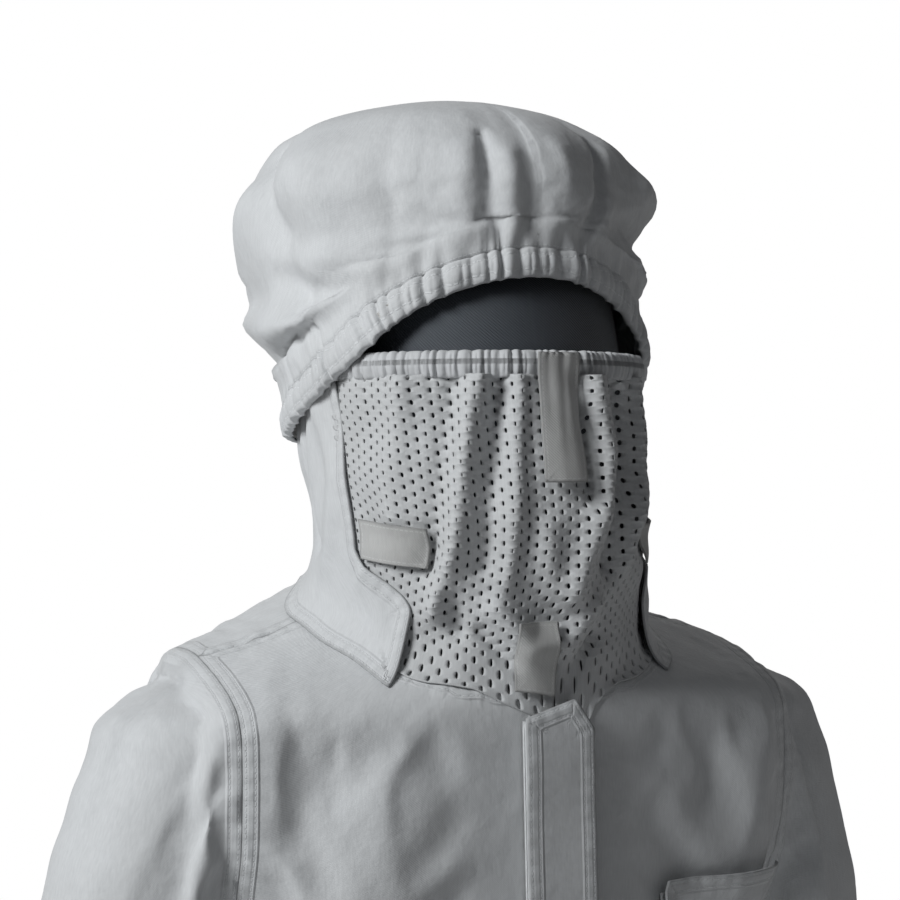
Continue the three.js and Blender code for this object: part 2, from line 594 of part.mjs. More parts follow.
// The slider is a channel round the chain, with a bridge on its plate that holds the pull.
function buildSlider() {
  const slider = new THREE.Group();
  slider.position.set(0, chainFront - FIT, -SLIDER_DROP);
  placket.add(slider);
  const outer = SLIDER.width / 2;
  const inner = CHAIN.width / 2 + FIT;
  const channel = shapeOf([
    [-outer, CHAIN.depth],
    [-outer, -SLIDER.plate],
    [outer, -SLIDER.plate],
    [outer, CHAIN.depth],
    [inner, CHAIN.depth],
    [inner, 0],
    [-inner, 0],
    [-inner, CHAIN.depth],
  ]);
  const body = new THREE.ExtrudeGeometry(channel, { depth: SLIDER.length, bevelEnabled: false });
  body.translate(0, 0, -SLIDER.length);

  // The bridge's side view is drawn with x up the zip and y out of the suit.
  const low = SLIDER.plate - 0.3;
  const high = SLIDER.plate + BRIDGE.height;
  const { length, wall, width } = BRIDGE;
  const arch = shapeOf(
    [
      [0, low],
      [length, low],
      [length, high - 1],
      [length - 1, high],
      [1, high],
      [0, high - 1],
    ],
    [
      [wall, SLIDER.plate + 0.5],
      [wall, high - 1.2],
      [length - wall, high - 1.2],
      [length - wall, SLIDER.plate + 0.5],
    ],
  );
  const bridge = new THREE.ExtrudeGeometry(arch, { depth: width, bevelEnabled: false });
  bridge.translate(0, 0, -width / 2);
  bridge.applyMatrix4(new THREE.Matrix4().makeBasis(point(0, 0, 1), point(0, -1, 0), point(1, 0, 0)));
  const bridgeLow = -(SLIDER.length + length) / 2;
  bridge.translate(0, 0, bridgeLow);
  addMesh("zip_slider", geometryOf(solidOf(body).add(solidOf(bridge))), zipBrass, slider);

  // The pull's top bar lies in the bridge, and the bridge's lower leg stands in the pull's eye.
  const half = PULL.width / 2;
  const eyeHalf = width / 2 + 0.6;
  const corner = 2;
  const tab = shapeOf(
    [
      [-half, 0],
      [-half, -PULL.length + corner],
      [-half + corner, -PULL.length],
      [half - corner, -PULL.length],
      [half, -PULL.length + corner],
      [half, 0],
    ],
    [
      [-eyeHalf, -PULL.bar],
      [eyeHalf, -PULL.bar],
      [eyeHalf, -PULL.bar - PULL.eye],
      [-eyeHalf, -PULL.bar - PULL.eye],
    ],
  );
  const pull = new THREE.ExtrudeGeometry(tab, { depth: PULL.depth, bevelEnabled: false });
  pull.applyMatrix4(new THREE.Matrix4().makeBasis(point(1, 0, 0), point(0, 0, 1), point(0, -1, 0)));
  const barTop = bridgeLow + length - wall - (length - 2 * wall - PULL.bar) / 2;
  pull.translate(0, -SLIDER.plate - 1, barTop);
  addMesh("zip_pull", pull, zipBrass, slider);
}

// The storm flap is sewn down along the wearer's right of the zip, and stands clear of the slider's pull.
function buildStormFlap() {
  const [left, right] = [-FLAP.width / 2, FLAP.width / 2];
  const outline = shapeOf([
    [left, -6],
    [left, -FLAP.length],
    [right, -FLAP.length],
    [right, -14],
    [right - 12, 4],
  ]);
  const leaf = new THREE.ExtrudeGeometry(outline, { depth: FLAP.thickness, bevelEnabled: false });
  leaf.applyMatrix4(new THREE.Matrix4().makeBasis(point(1, 0, 0), point(0, 0, 1), point(0, -1, 0)));
  leaf.translate(0, -FLAP.stand, 0);
  const sewnEdge = boxGeometry([left, -FLAP.stand - 1, -FLAP.length], [left + 2.5, -FIT, -6]);
  addMesh("storm_flap", geometryOf(solidOf(leaf).add(solidOf(sewnEdge))), cotton, placket);
}
buildZip();
buildSlider();
buildStormFlap();

export default root;
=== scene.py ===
import math

import bmesh
import bpy
import numpy as np
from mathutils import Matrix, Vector
from mathutils.bvhtree import BVHTree
from mathutils.kdtree import KDTree


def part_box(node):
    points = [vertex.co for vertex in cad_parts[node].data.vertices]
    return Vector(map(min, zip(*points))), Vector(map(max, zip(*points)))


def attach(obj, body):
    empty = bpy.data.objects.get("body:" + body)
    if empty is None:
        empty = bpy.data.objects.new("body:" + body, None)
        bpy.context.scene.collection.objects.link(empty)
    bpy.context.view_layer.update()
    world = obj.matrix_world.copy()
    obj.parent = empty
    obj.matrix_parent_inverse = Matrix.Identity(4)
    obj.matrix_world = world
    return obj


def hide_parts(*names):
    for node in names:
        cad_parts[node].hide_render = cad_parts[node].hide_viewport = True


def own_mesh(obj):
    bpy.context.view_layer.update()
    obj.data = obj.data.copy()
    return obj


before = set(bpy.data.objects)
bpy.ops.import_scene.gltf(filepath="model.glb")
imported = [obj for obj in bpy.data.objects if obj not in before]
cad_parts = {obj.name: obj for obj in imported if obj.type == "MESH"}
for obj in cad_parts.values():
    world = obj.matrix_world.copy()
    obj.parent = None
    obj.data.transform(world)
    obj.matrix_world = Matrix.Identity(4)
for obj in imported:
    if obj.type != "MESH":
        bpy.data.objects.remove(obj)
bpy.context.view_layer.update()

bpy.ops.object.select_all(action="DESELECT")

# ---------- suit body: back, fronts, trousers and sleeves ----------
# The coverall is cut from white cotton drill in nine panels, sewn with flat-felled seams. It is shaped
# as it hangs on its wearer, left to settle into wrinkles, and then parted along its seams.
MM = 0.001
ZIP_TOP_Z, ZIP_END_Z, WAIST_Z, CROTCH_Z, HEM_Z = -45, -640, -400, -700, -1450
ARMHOLE_X = 184.5


def front_depth(z):
    return 122 + 28 / 595 * (ZIP_TOP_Z - z)


def table(rows):
    """Level sections from the top down, each z, half width a, front f, back b, middle x, tilt t."""
    filled = [list(row) + [0] * (6 - len(row)) for row in rows]
    return np.array(filled, float)[::-1]


def on_table(rows, angle, z, out=0.0):
    """Points on a table's surface in metres. The angle runs from the front by the wearer's left."""
    z = np.asarray(z, float)
    a, f, b, x, t = (np.interp(z, rows[:, 0], rows[:, k]) for k in range(1, 6))
    sine, cosine = np.sin(angle), np.cos(angle)
    across = x + (a + out) * sine
    depth = (b - f) / 2 - ((b + f) / 2 + out) * cosine
    return np.stack(np.broadcast_arrays(across, depth, z - t * cosine), -1) * MM


BODY = table([
    (27.5, 97, 117, 105, 0, 42), (7.5, 97, 117, 105, 0, 42), (2, 112, 118.5, 110, 0, 37.5),
    (-4, 130, 119.2, 114, 0, 32.5), (-10, 150, 119.9, 117, 0, 28), (-17, 177, 120.6, 119, 0, 23),
    (-27, 210, 121.2, 121, 0, 15.5), (-38, 240, 121.7, 123, 0, 8), (-50, 261, front_depth(-50), 124),
    (-66, 267, front_depth(-66), 125), (-100, 268, front_depth(-100), 129),
    (-145, 244, front_depth(-145), 131), (-178, 208, front_depth(-178), 131),
    (-205, 186, front_depth(-205), 130), (-260, 180, front_depth(-260), 127),
    (WAIST_Z, 174, front_depth(WAIST_Z), 118), (-500, 188, front_depth(-500), 128),
    (-600, 203, front_depth(-600), 138), (ZIP_END_Z, 205, 150, 139), (CROTCH_Z, 206, 150, 140),
    (-722, 140, 96, 90), (-740, 70, 50, 48),
])


def leg_table(side):
    rows = [(-600, 78, 110, 104, 90), (-700, 101, 138, 132, 104), (-820, 98, 122, 118, 110),
            (-1000, 91, 104, 100, 119), (-1200, 86, 92, 94, 128), (-1413.5, 79, 82, 84, 135),
            (-1440, 79, 82, 84, 135)]
    return table([(z, a, f, b, side * x) for z, a, f, b, x in rows])


ARM = [((205, 0, -75), 74, 60), ((216, 0, -115), 76, 63), ((230, 0, -165), 75, 63),
       ((246, 1, -225), 69, 60), ((262, 2, -320), 62, 56), ((276, -6, -420), 57, 52),
       ((291, -22, -510), 53, 50), ((303, -40, -585), 48, 47)]


def arm_axes(side, row):
    def place(i):
        x, y, z = ARM[i][0]
        return Vector((side * x, y, z)) * MM
    before, after = max(row - 1, 0), min(row + 1, len(ARM) - 1)
    along = (place(after) - place(before)).normalized()
    level = (Vector((0, 1, 0)) - along * along.y).normalized()
    return place(row), along, level, along.cross(level)


def add_piece(name, points, faces):
    mesh = bpy.data.meshes.new(name)
    mesh.from_pydata([tuple(p) for p in points], [], faces)
    mesh.update()
    piece = bpy.data.objects.new(name, mesh)
    bpy.context.collection.objects.link(piece)
    return piece


def ring_faces(rings, count, caps=True):
    faces = []
    for row in range(rings - 1):
        for i in range(count):
            j = (i + 1) % count
            faces.append((row * count + i, row * count + j, (row + 1) * count + j, (row + 1) * count + i))
    if caps:
        faces.append(tuple(range(count))[::-1])
        faces.append(tuple(range((rings - 1) * count, rings * count)))
    return faces


def add_tube(name, rows, sides=56):
    angle = np.linspace(0, 2 * math.pi, sides, endpoint=False)
    points = np.concatenate([on_table(rows, angle, z) for z in rows[:, 0]])
    return add_piece(name, points, ring_faces(len(rows), sides))


def add_arm(name, side, sides=36):
    points = []
    for row, (_, depth, width) in enumerate(ARM):
        at, along, level, third = arm_axes(side, row)
        if row == len(ARM) - 1:
            at = at + along * 0.022
        for i in range(sides):
            turn = 2 * math.pi * i / sides
            points.append(at + level * depth * MM * math.cos(turn) + third * width * MM * math.sin(turn))
    return add_piece(name, points, ring_faces(len(ARM), sides))


def active(piece):
    bpy.ops.object.select_all(action="DESELECT")
    piece.select_set(True)
    bpy.context.view_layer.objects.active = piece


def apply_modifiers(piece):
    active(piece)
    for modifier in list(piece.modifiers):
        bpy.ops.object.modifier_apply(modifier=modifier.name)


def outward(piece):
    work = bmesh.new()
    work.from_mesh(piece.data)
    bmesh.ops.recalc_face_normals(work, faces=work.faces)
    work.to_mesh(piece.data)
    work.free()


parts = [add_tube("body", BODY)]
parts += [add_tube("leg", leg_table(side)) for side in (1, -1)]
parts += [add_arm("arm", side) for side in (1, -1)]
for part in parts:
    outward(part)
bpy.ops.object.select_all(action="DESELECT")
for part in parts:
    part.select_set(True)
bpy.context.view_layer.objects.active = parts[0]
bpy.ops.object.join()
suit = parts[0]
remesh = suit.modifiers.new("remesh", "REMESH")
remesh.mode = "VOXEL"
remesh.voxel_size = 0.0088
ease = suit.modifiers.new("ease", "SMOOTH")
ease.factor = 0.5
ease.iterations = 4
apply_modifiers(suit)

cut = bmesh.new()
cut.from_mesh(suit.data)
SNAP = 0.0028


def cut_plane(point, normal, keep=lambda c: True, remove=False):
    near = [f for f in cut.faces if keep(f.calc_center_median())]
    geometry = set(near)
    for face in near:
        geometry.update(face.edges)
        geometry.update(face.verts)
    bmesh.ops.bisect_plane(cut, geom=list(geometry), dist=SNAP, plane_co=point, plane_no=normal,
                           use_snap_center=True, clear_outer=remove)


cut_plane((0, -0.006, 0.0065), (0, -0.378, 1), lambda c: c.z > -0.08, True)
for side in (1, -1):
    at, along, _, _ = arm_axes(side, len(ARM) - 1)
    cut_plane(at, along, lambda c: c.z < -0.54 and c.x * side > 0.245 and c.z > -0.66, True)
cut_plane((0, 0, -1.4135), (0, 0, -1), lambda c: c.z < -1.35, True)
cut_plane((0, 0, WAIST_Z * MM), (0, 0, 1), lambda c: abs(c.z - WAIST_Z * MM) < 0.03 and abs(c.x) < 0.2)
for side in (1, -1):
    cut_plane((side * ARMHOLE_X * MM, 0, 0), (1, 0, 0), lambda c: c.z > -0.395 and c.x * side > 0.16)
cut_plane((0, 0, 0), (0, 1, 0), lambda c: c.z < WAIST_Z * MM and abs(c.y) < 0.03 and not
          (c.z > -0.66 and abs(c.x) > 0.225))
cut_plane((0, 0, 0), (0, 1, 0), lambda c: c.z > WAIST_Z * MM and abs(c.x) < ARMHOLE_X * MM and abs(c.y) < 0.03)
cut_plane((0, 0, 0), (1, 0, 0), lambda c: c.z < WAIST_Z * MM and c.z > -0.8 and abs(c.x) < 0.03
          and (c.y > 0 or c.z < ZIP_END_Z * MM))
for side in (1, -1):
    cut_plane((side * 0.007, 0, 0), (side, 0, 0), lambda c: c.y < -0.05 and c.z > ZIP_END_Z * MM
              and 0 < c.x * side < 0.03)
gap = [f for f in cut.faces if abs(f.calc_center_median().x) < 0.0069 and f.calc_center_median().y < -0.05
       and f.calc_center_median().z > ZIP_END_Z * MM]
bmesh.ops.delete(cut, geom=gap, context="FACES")
bmesh.ops.remove_doubles(cut, verts=cut.verts, dist=0.0012)
loose = [v for v in cut.verts if not v.link_faces]
bmesh.ops.delete(cut, geom=loose, context="VERTS")
cut.to_mesh(suit.data)
cut.free()

PANELS = ["back_panel", "front_panel_left", "front_panel_right", "trouser_front_left",
          "trouser_front_right", "trouser_back_left", "trouser_back_right", "sleeve_left", "sleeve_right"]
centre = np.zeros(3 * len(suit.data.polygons))
suit.data.polygons.foreach_get("center", centre)
centre = centre.reshape(-1, 3)
x, y, z = centre.T
left, front, above = x > 0, y < 0, z > WAIST_Z * MM
is_sleeve = (np.abs(x) > ARMHOLE_X * MM) & (above | ((np.abs(x) > 0.228) & (z > -0.66)))
panel_of = np.where(above, np.where(front, np.where(left, 1, 2), 0),
                    np.where(front, np.where(left, 3, 4), np.where(left, 5, 6)))
panel_of = np.where(is_sleeve, np.where(left, 7, 8), panel_of)


def positions(piece):
    flat = np.zeros(3 * len(piece.data.vertices))
    piece.data.vertices.foreach_get("co", flat)
    return flat.reshape(-1, 3)


def normals(piece):
    flat = np.zeros(3 * len(piece.data.vertices))
    piece.data.vertex_normals.foreach_get("vector", flat)
    return flat.reshape(-1, 3)


def move(piece, points):
    piece.data.vertices.foreach_set("co", np.asarray(points, float).ravel())
    piece.data.update()


def smoothstep(value, low, high):
    share = np.clip((value - low) / (high - low), 0, 1)
    return share * share * (3 - 2 * share)


def waves(seed, count, scale):
    """A smooth field of ridges and hollows from -1 to 1 over two coordinates given in metres."""
    rng = np.random.default_rng(seed)
    turn = rng.uniform(0, 2 * math.pi, count)
    size = rng.uniform(0.7, 1.6, count) * 2 * math.pi / scale
    phase = rng.uniform(0, 2 * math.pi, (count, 3))

    def field(u, v):
        total = 0
        for k in range(count):
            bend = 0.7 * np.sin(0.45 * size[k] * (u * np.sin(turn[k]) + v * np.cos(turn[k])) + phase[k, 1])
            total = total + np.sin(size[k] * (u * np.cos(turn[k]) - v * np.sin(turn[k])) + bend + phase[k, 0])
        return total / math.sqrt(count)
    return field


# Folds before settling: rings that stack above the cuffs and the hems and behind the elbows and the knees,
# long drapes down the chest, the back and the thighs, and slack above the waist.
rest = positions(suit)
SLACK = 0.05
x, y, z = rest.T
side_of = np.sign(x)
leg_x = side_of * np.interp(z, [-1.4135, -1.2, -1.0, -0.82, -0.7], [0.135, 0.128, 0.119, 0.110, 0.104])
on_arm = (np.abs(x) > ARMHOLE_X * MM) & ((z > WAIST_Z * MM) | ((np.abs(x) > 0.228) & (z > -0.66)))
arm_x = side_of * np.interp(z, [-0.585, -0.42, -0.32, -0.225, -0.075], [0.303, 0.276, 0.262, 0.246, 0.205])
arm_y = np.interp(z, [-0.585, -0.51, -0.42, -0.32], [-0.040, -0.022, -0.006, 0.002])
around_arm = np.arctan2(x - arm_x, -(y - arm_y))
around_leg = np.arctan2(x - leg_x, -y)
around_body = np.arctan2(x, -y)
on_leg = ~on_arm & (z < -0.72)
angle = np.where(on_arm, around_arm, np.where(on_leg, around_leg, around_body))
rings = waves(5, 7, 0.105)(angle * 0.028 + side_of * 0.31, z * 2.0)
drapes = waves(11, 7, 0.115)(angle * 0.16, z * 0.32 + side_of * 0.4)
stack = np.where(on_arm, 0.25 + 0.55 * np.exp(-((z + 0.36) / 0.07) ** 2) + 0.6 * smoothstep(-z, 0.47, 0.57),
                 np.where(on_leg, 0.15 + 0.5 * np.exp(-((z + 1.02) / 0.08) ** 2) + smoothstep(-z, 1.24, 1.38), 0.1))
hang = np.where(on_arm, 0.25, np.where(on_leg, 0.75, 0.55))
hold = np.ones(len(rest))
hold *= smoothstep(1.4135 + z, 0.0, 0.03)
hold *= smoothstep(z + 0.585, -0.004, 0.03) * on_arm + ~on_arm
neck_height = 0.0065 + 0.378 * (y + 0.006) - z
hold *= np.where(on_arm, 1, smoothstep(neck_height, 0.0, 0.05))
hold *= np.where(z > WAIST_Z * MM, smoothstep(np.abs(np.abs(x) - ARMHOLE_X * MM), -0.006, 0.03), 1)
near_zip = (np.abs(x) < 0.09) & (y < -0.05) & (z > -0.66)
hold *= np.where(near_zip, 0.04 + 0.96 * smoothstep(np.abs(x), 0.034, 0.08), 1)
fold = 0.0066 * (stack * rings + hang * 0.8 * drapes)
move(suit, rest + normals(suit) * (fold * hold)[:, None])

FRAMES = 26
hold_group = suit.vertex_groups.new(name="hold")
slack_group = suit.vertex_groups.new(name="slack")
loose_share = 1 - 0.985 * hold
for i, weight in enumerate(np.clip(loose_share, 0.03, 1)):
    hold_group.add([i], float(weight), "REPLACE")
cloth = suit.modifiers.new("cloth", "CLOTH")
cloth.settings.quality = 5
cloth.settings.mass = 0.28
cloth.settings.tension_stiffness = 18
cloth.settings.compression_stiffness = 12
cloth.settings.shear_stiffness = 6
cloth.settings.bending_stiffness = 0.6
cloth.settings.shrink_min = -SLACK
cloth.settings.vertex_group_mass = "hold"
cloth.settings.pin_stiffness = 0.7
cloth.settings.effector_weights.gravity = 0.35
cloth.collision_settings.use_collision = False
cloth.point_cache.frame_start = 1
cloth.point_cache.frame_end = FRAMES
before_cloth = positions(suit)
for number in range(1, FRAMES + 1):
    bpy.context.scene.frame_set(number)
apply_modifiers(suit)
bpy.context.scene.frame_set(1)
LARGEST_SHIFT = 0.014
shift = positions(suit) - before_cloth
length = np.linalg.norm(shift, axis=1, keepdims=True)
shift *= np.minimum(1, LARGEST_SHIFT / np.maximum(length, 1e-9))
shift *= np.where(near_zip, smoothstep(np.abs(x), 0.03, 0.08), 1)[:, None]
move(suit, before_cloth + shift * smoothstep(hold, 0.0, 0.3)[:, None])
border_use = {}
for face in suit.data.polygons:
    for key in face.edge_keys:
        border_use[key] = border_use.get(key, 0) + 1
border_points = sorted({v for key, uses in border_use.items() if uses == 1 for v in key})
collar_points = positions(suit)[[v for v in border_points if neck_height[v] < 0.004 and abs(x[v]) < 0.15]]
collar_points = collar_points[(np.abs(collar_points[:, 0]) > 0.0085) | (collar_points[:, 1] > 0)]
suit_surface = BVHTree.FromPolygons([v.co for v in suit.data.vertices],
                                    [list(p.vertices) for p in suit.data.polygons])


def mark_edges(piece, from_top=False):
    """Gives each point its run along the nearest border and its distance from it, in metres, as 'seam'."""
    work = bmesh.new()
    work.from_mesh(piece.data)
    work.verts.ensure_lookup_table()
    border = {}
    for edge in work.edges:
        if len(edge.link_faces) == 1:
            a, b = edge.verts[0].index, edge.verts[1].index
            border.setdefault(a, []).append(b)
            border.setdefault(b, []).append(a)
    starts, ends, runs = [], [], []
    seen = set()
    for first in sorted(border, key=lambda k: round(work.verts[k].co.z, 4), reverse=from_top):
        if first in seen:
            continue
        seen.add(first)
        here, run, nexts = first, 0.0, border[first]
        while True:
            options = [n for n in nexts if n not in seen]
            target = options[0] if options else (first if first in nexts and here != first else None)
            if target is None:
                break
            a, b = work.verts[here].co, work.verts[target].co
            starts.append(a[:])
            ends.append(b[:])
            runs.append(run)
            run += (b - a).length
            if not options:
                break
            seen.add(target)
            here, nexts = target, border[target]
    work.free()
    points = positions(piece)
    starts, ends, runs = np.array(starts), np.array(ends), np.array(runs)
    tree = KDTree(len(starts))
    for i, middle in enumerate((starts + ends) / 2):
        tree.insert(middle, i)
    tree.balance()
    near = np.array([[found[1] for found in tree.find_n(p, 3)] for p in points])
    best = np.full(len(points), 9.0)
    run = np.zeros(len(points))
    for column in near.T:
        a, b = starts[column], ends[column]
        along = b - a
        size = np.maximum((along ** 2).sum(1), 1e-12)
        share = np.clip(((points - a) * along).sum(1) / size, 0, 1)
        distance = np.linalg.norm(points - a - along * share[:, None], axis=1)
        closer = distance < best
        best = np.where(closer, distance, best)
        run = np.where(closer, runs[column] + share * np.sqrt(size), run)
    layer = piece.data.attributes.new("seam", "FLOAT_VECTOR", "POINT")
    layer.data.foreach_set("vector", np.stack([run, best, 0 * run], 1).ravel())


def set_weave(piece, u, v):
    layer = piece.data.attributes.get("weave") or piece.data.attributes.new("weave", "FLOAT_VECTOR", "POINT")
    layer.data.foreach_set("vector", np.stack([u, v, 0 * u], 1).ravel())


def thicken(piece, thickness, levels=0, offset=-1):
    if levels:
        fine = piece.modifiers.new("fine", "SUBSURF")
        fine.levels = fine.render_levels = levels
        fine.boundary_smooth = "PRESERVE_CORNERS"
    wall = piece.modifiers.new("wall", "SOLIDIFY")
    wall.thickness = thickness
    wall.offset = offset
    wall.use_even_offset = False
    apply_modifiers(piece)
    bpy.ops.object.shade_smooth()


SMALLEST_STATED = 0.01


def declare(piece, body, nodes, shape):
    """Rides the piece on its body and stands it for its nodes.

    The flat size given as shape is raised to 10 mm where smaller, and goes no further.
    """
    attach(piece, body)
    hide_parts(*nodes)
    if min(shape) < SMALLEST_STATED:
        shape = tuple(max(size, SMALLEST_STATED) for size in shape)


# Cotton drill: a close twill with slubs, slightly uneven in tone, soiled a little in random blotches, with painted
# shade along each cut edge and in the weave's hollows, and with two rows of topstitching beside each sewn edge
# and small puckers between them.
def new_group(name, inputs, outputs):
    group = bpy.data.node_groups.new(name, "ShaderNodeTree")
    for label, kind, value in inputs:
        socket = group.interface.new_socket(label, in_out="INPUT", socket_type=kind)
        if value is not None:
            socket.default_value = value
    for label, kind in outputs:
        group.interface.new_socket(label, in_out="OUTPUT", socket_type=kind)
    return group, group.nodes.new("NodeGroupInput"), group.nodes.new("NodeGroupOutput")


def math_node(tree, operation, first, second=None, third=None, clamp=False):
    node = tree.nodes.new("ShaderNodeMath")
    node.operation = operation
    node.use_clamp = clamp
    for socket, value in zip(node.inputs, (first, second, third)):
        if value is None:
            continue
        if isinstance(value, (int, float)):
            socket.default_value = value
        else:
            tree.links.new(value, socket)
    return node.outputs[0]


def noise_node(tree, vector, scale, detail=3.0, roughness=0.5):
    node = tree.nodes.new("ShaderNodeTexNoise")
    node.inputs["Scale"].default_value = scale
    node.inputs["Detail"].default_value = detail
    node.inputs["Roughness"].default_value = roughness
    tree.links.new(vector, node.inputs["Vector"])
    return node.outputs["Fac"]


def range_node(tree, value, low, high, to_low=0.0, to_high=1.0):
    node = tree.nodes.new("ShaderNodeMapRange")
    node.inputs["From Min"].default_value = low
    node.inputs["From Max"].default_value = high
    node.inputs["To Min"].default_value = to_low
    node.inputs["To Max"].default_value = to_high
    tree.links.new(value, node.inputs["Value"])
    return node.outputs["Result"]


def split(tree, vector):
    node = tree.nodes.new("ShaderNodeSeparateXYZ")
    tree.links.new(vector, node.inputs[0])
    return node.outputs


WEAVE, given, out = new_group(
    "Weave", [("Place", "NodeSocketVector", None), ("Threads", "NodeSocketFloat", 1500.0)],
    [("Height", "NodeSocketFloat"), ("Slub", "NodeSocketFloat")])
u, v, _ = split(WEAVE, given.outputs["Place"])
turn_u = math_node(WEAVE, "MULTIPLY", u, given.outputs["Threads"])
turn_v = math_node(WEAVE, "MULTIPLY", v, given.outputs["Threads"])
warp = math_node(WEAVE, "SINE", math_node(WEAVE, "MULTIPLY", turn_u, 2 * math.pi))
weft = math_node(WEAVE, "SINE", math_node(WEAVE, "MULTIPLY", turn_v, 2 * math.pi))
twill = math_node(WEAVE, "SINE", math_node(WEAVE, "MULTIPLY", math_node(WEAVE, "ADD", turn_u, turn_v), math.pi))
cross = math_node(WEAVE, "MULTIPLY", warp, weft)
height = math_node(WEAVE, "MULTIPLY_ADD", twill, 0.35, math_node(WEAVE, "MULTIPLY_ADD", cross, 0.3, 0.5))
stretch = WEAVE.nodes.new("ShaderNodeVectorMath")
stretch.operation = "MULTIPLY"
stretch.inputs[1].default_value = (900, 110, 1)
WEAVE.links.new(given.outputs["Place"], stretch.inputs[0])
slub = noise_node(WEAVE, stretch.outputs[0], 1.0, 2.0)
WEAVE.links.new(height, out.inputs["Height"])
WEAVE.links.new(slub, out.inputs["Slub"])

STITCH, given, out = new_group(
    "Topstitching",
    [("Seam", "NodeSocketVector", None), ("First row", "NodeSocketFloat", 0.002),
     ("Second row", "NodeSocketFloat", 0.0075), ("Pitch", "NodeSocketFloat", 0.0032),
     ("Lap", "NodeSocketFloat", 0.0088)],
    [("Thread", "NodeSocketFloat"), ("Height", "NodeSocketFloat"), ("Edge shade", "NodeSocketFloat")])
run, edge, _ = split(STITCH, given.outputs["Seam"])
share = math_node(STITCH, "FRACT", math_node(STITCH, "DIVIDE", run, given.outputs["Pitch"]))
dash = math_node(STITCH, "PINGPONG", math_node(STITCH, "ADD", share, 0.0), 0.5)
dash = range_node(STITCH, dash, 0.1, 0.2)
threads, dips = [], []
for label in ("First row", "Second row"):
    offset = math_node(STITCH, "ABSOLUTE", math_node(STITCH, "SUBTRACT", edge, given.outputs[label]))
    threads.append(math_node(STITCH, "MULTIPLY", range_node(STITCH, offset, 0.00025, 0.00045, 1, 0), dash))
    dips.append(range_node(STITCH, offset, 0.0, 0.0016, 1, 0))
thread = math_node(STITCH, "MAXIMUM", threads[0], threads[1])
dip = math_node(STITCH, "MAXIMUM", dips[0], dips[1])
pucker = math_node(STITCH, "SINE", math_node(STITCH, "MULTIPLY", run, 2 * math.pi / 0.011))
pucker = math_node(STITCH, "MULTIPLY", pucker, range_node(STITCH, edge, 0.003, 0.016, 1, 0))
lap = range_node(STITCH, math_node(STITCH, "SUBTRACT", edge, given.outputs["Lap"]), 0.0, 0.0014, 1, 0)
total = math_node(STITCH, "MULTIPLY_ADD", dip, -0.5, math_node(STITCH, "MULTIPLY_ADD", pucker, 0.35, lap))
total = math_node(STITCH, "MULTIPLY_ADD", thread, 0.5, total)
STITCH.links.new(thread, out.inputs["Thread"])
STITCH.links.new(total, out.inputs["Height"])
# The last output is painted shade along a piece's border: 1 at the edge, fading out within 1.2 mm.
STITCH.links.new(range_node(STITCH, edge, 0.0, 0.0012, 1, 0), out.inputs["Edge shade"])


def attribute_node(tree, name):
    node = tree.nodes.new("ShaderNodeAttribute")
    node.attribute_name = name
    return node.outputs["Vector"]


def mix_colour(tree, share, first, second, blend="MIX"):
    node = tree.nodes.new("ShaderNodeMix")
    node.data_type = "RGBA"
    node.blend_type = blend
    for socket, value in ((node.inputs[0], share), (node.inputs[6], first), (node.inputs[7], second)):
        if isinstance(value, (int, float)):
            socket.default_value = value
        elif isinstance(value, tuple):
            socket.default_value = (*value, 1)
        else:
            tree.links.new(value, socket)
    return node.outputs[2]


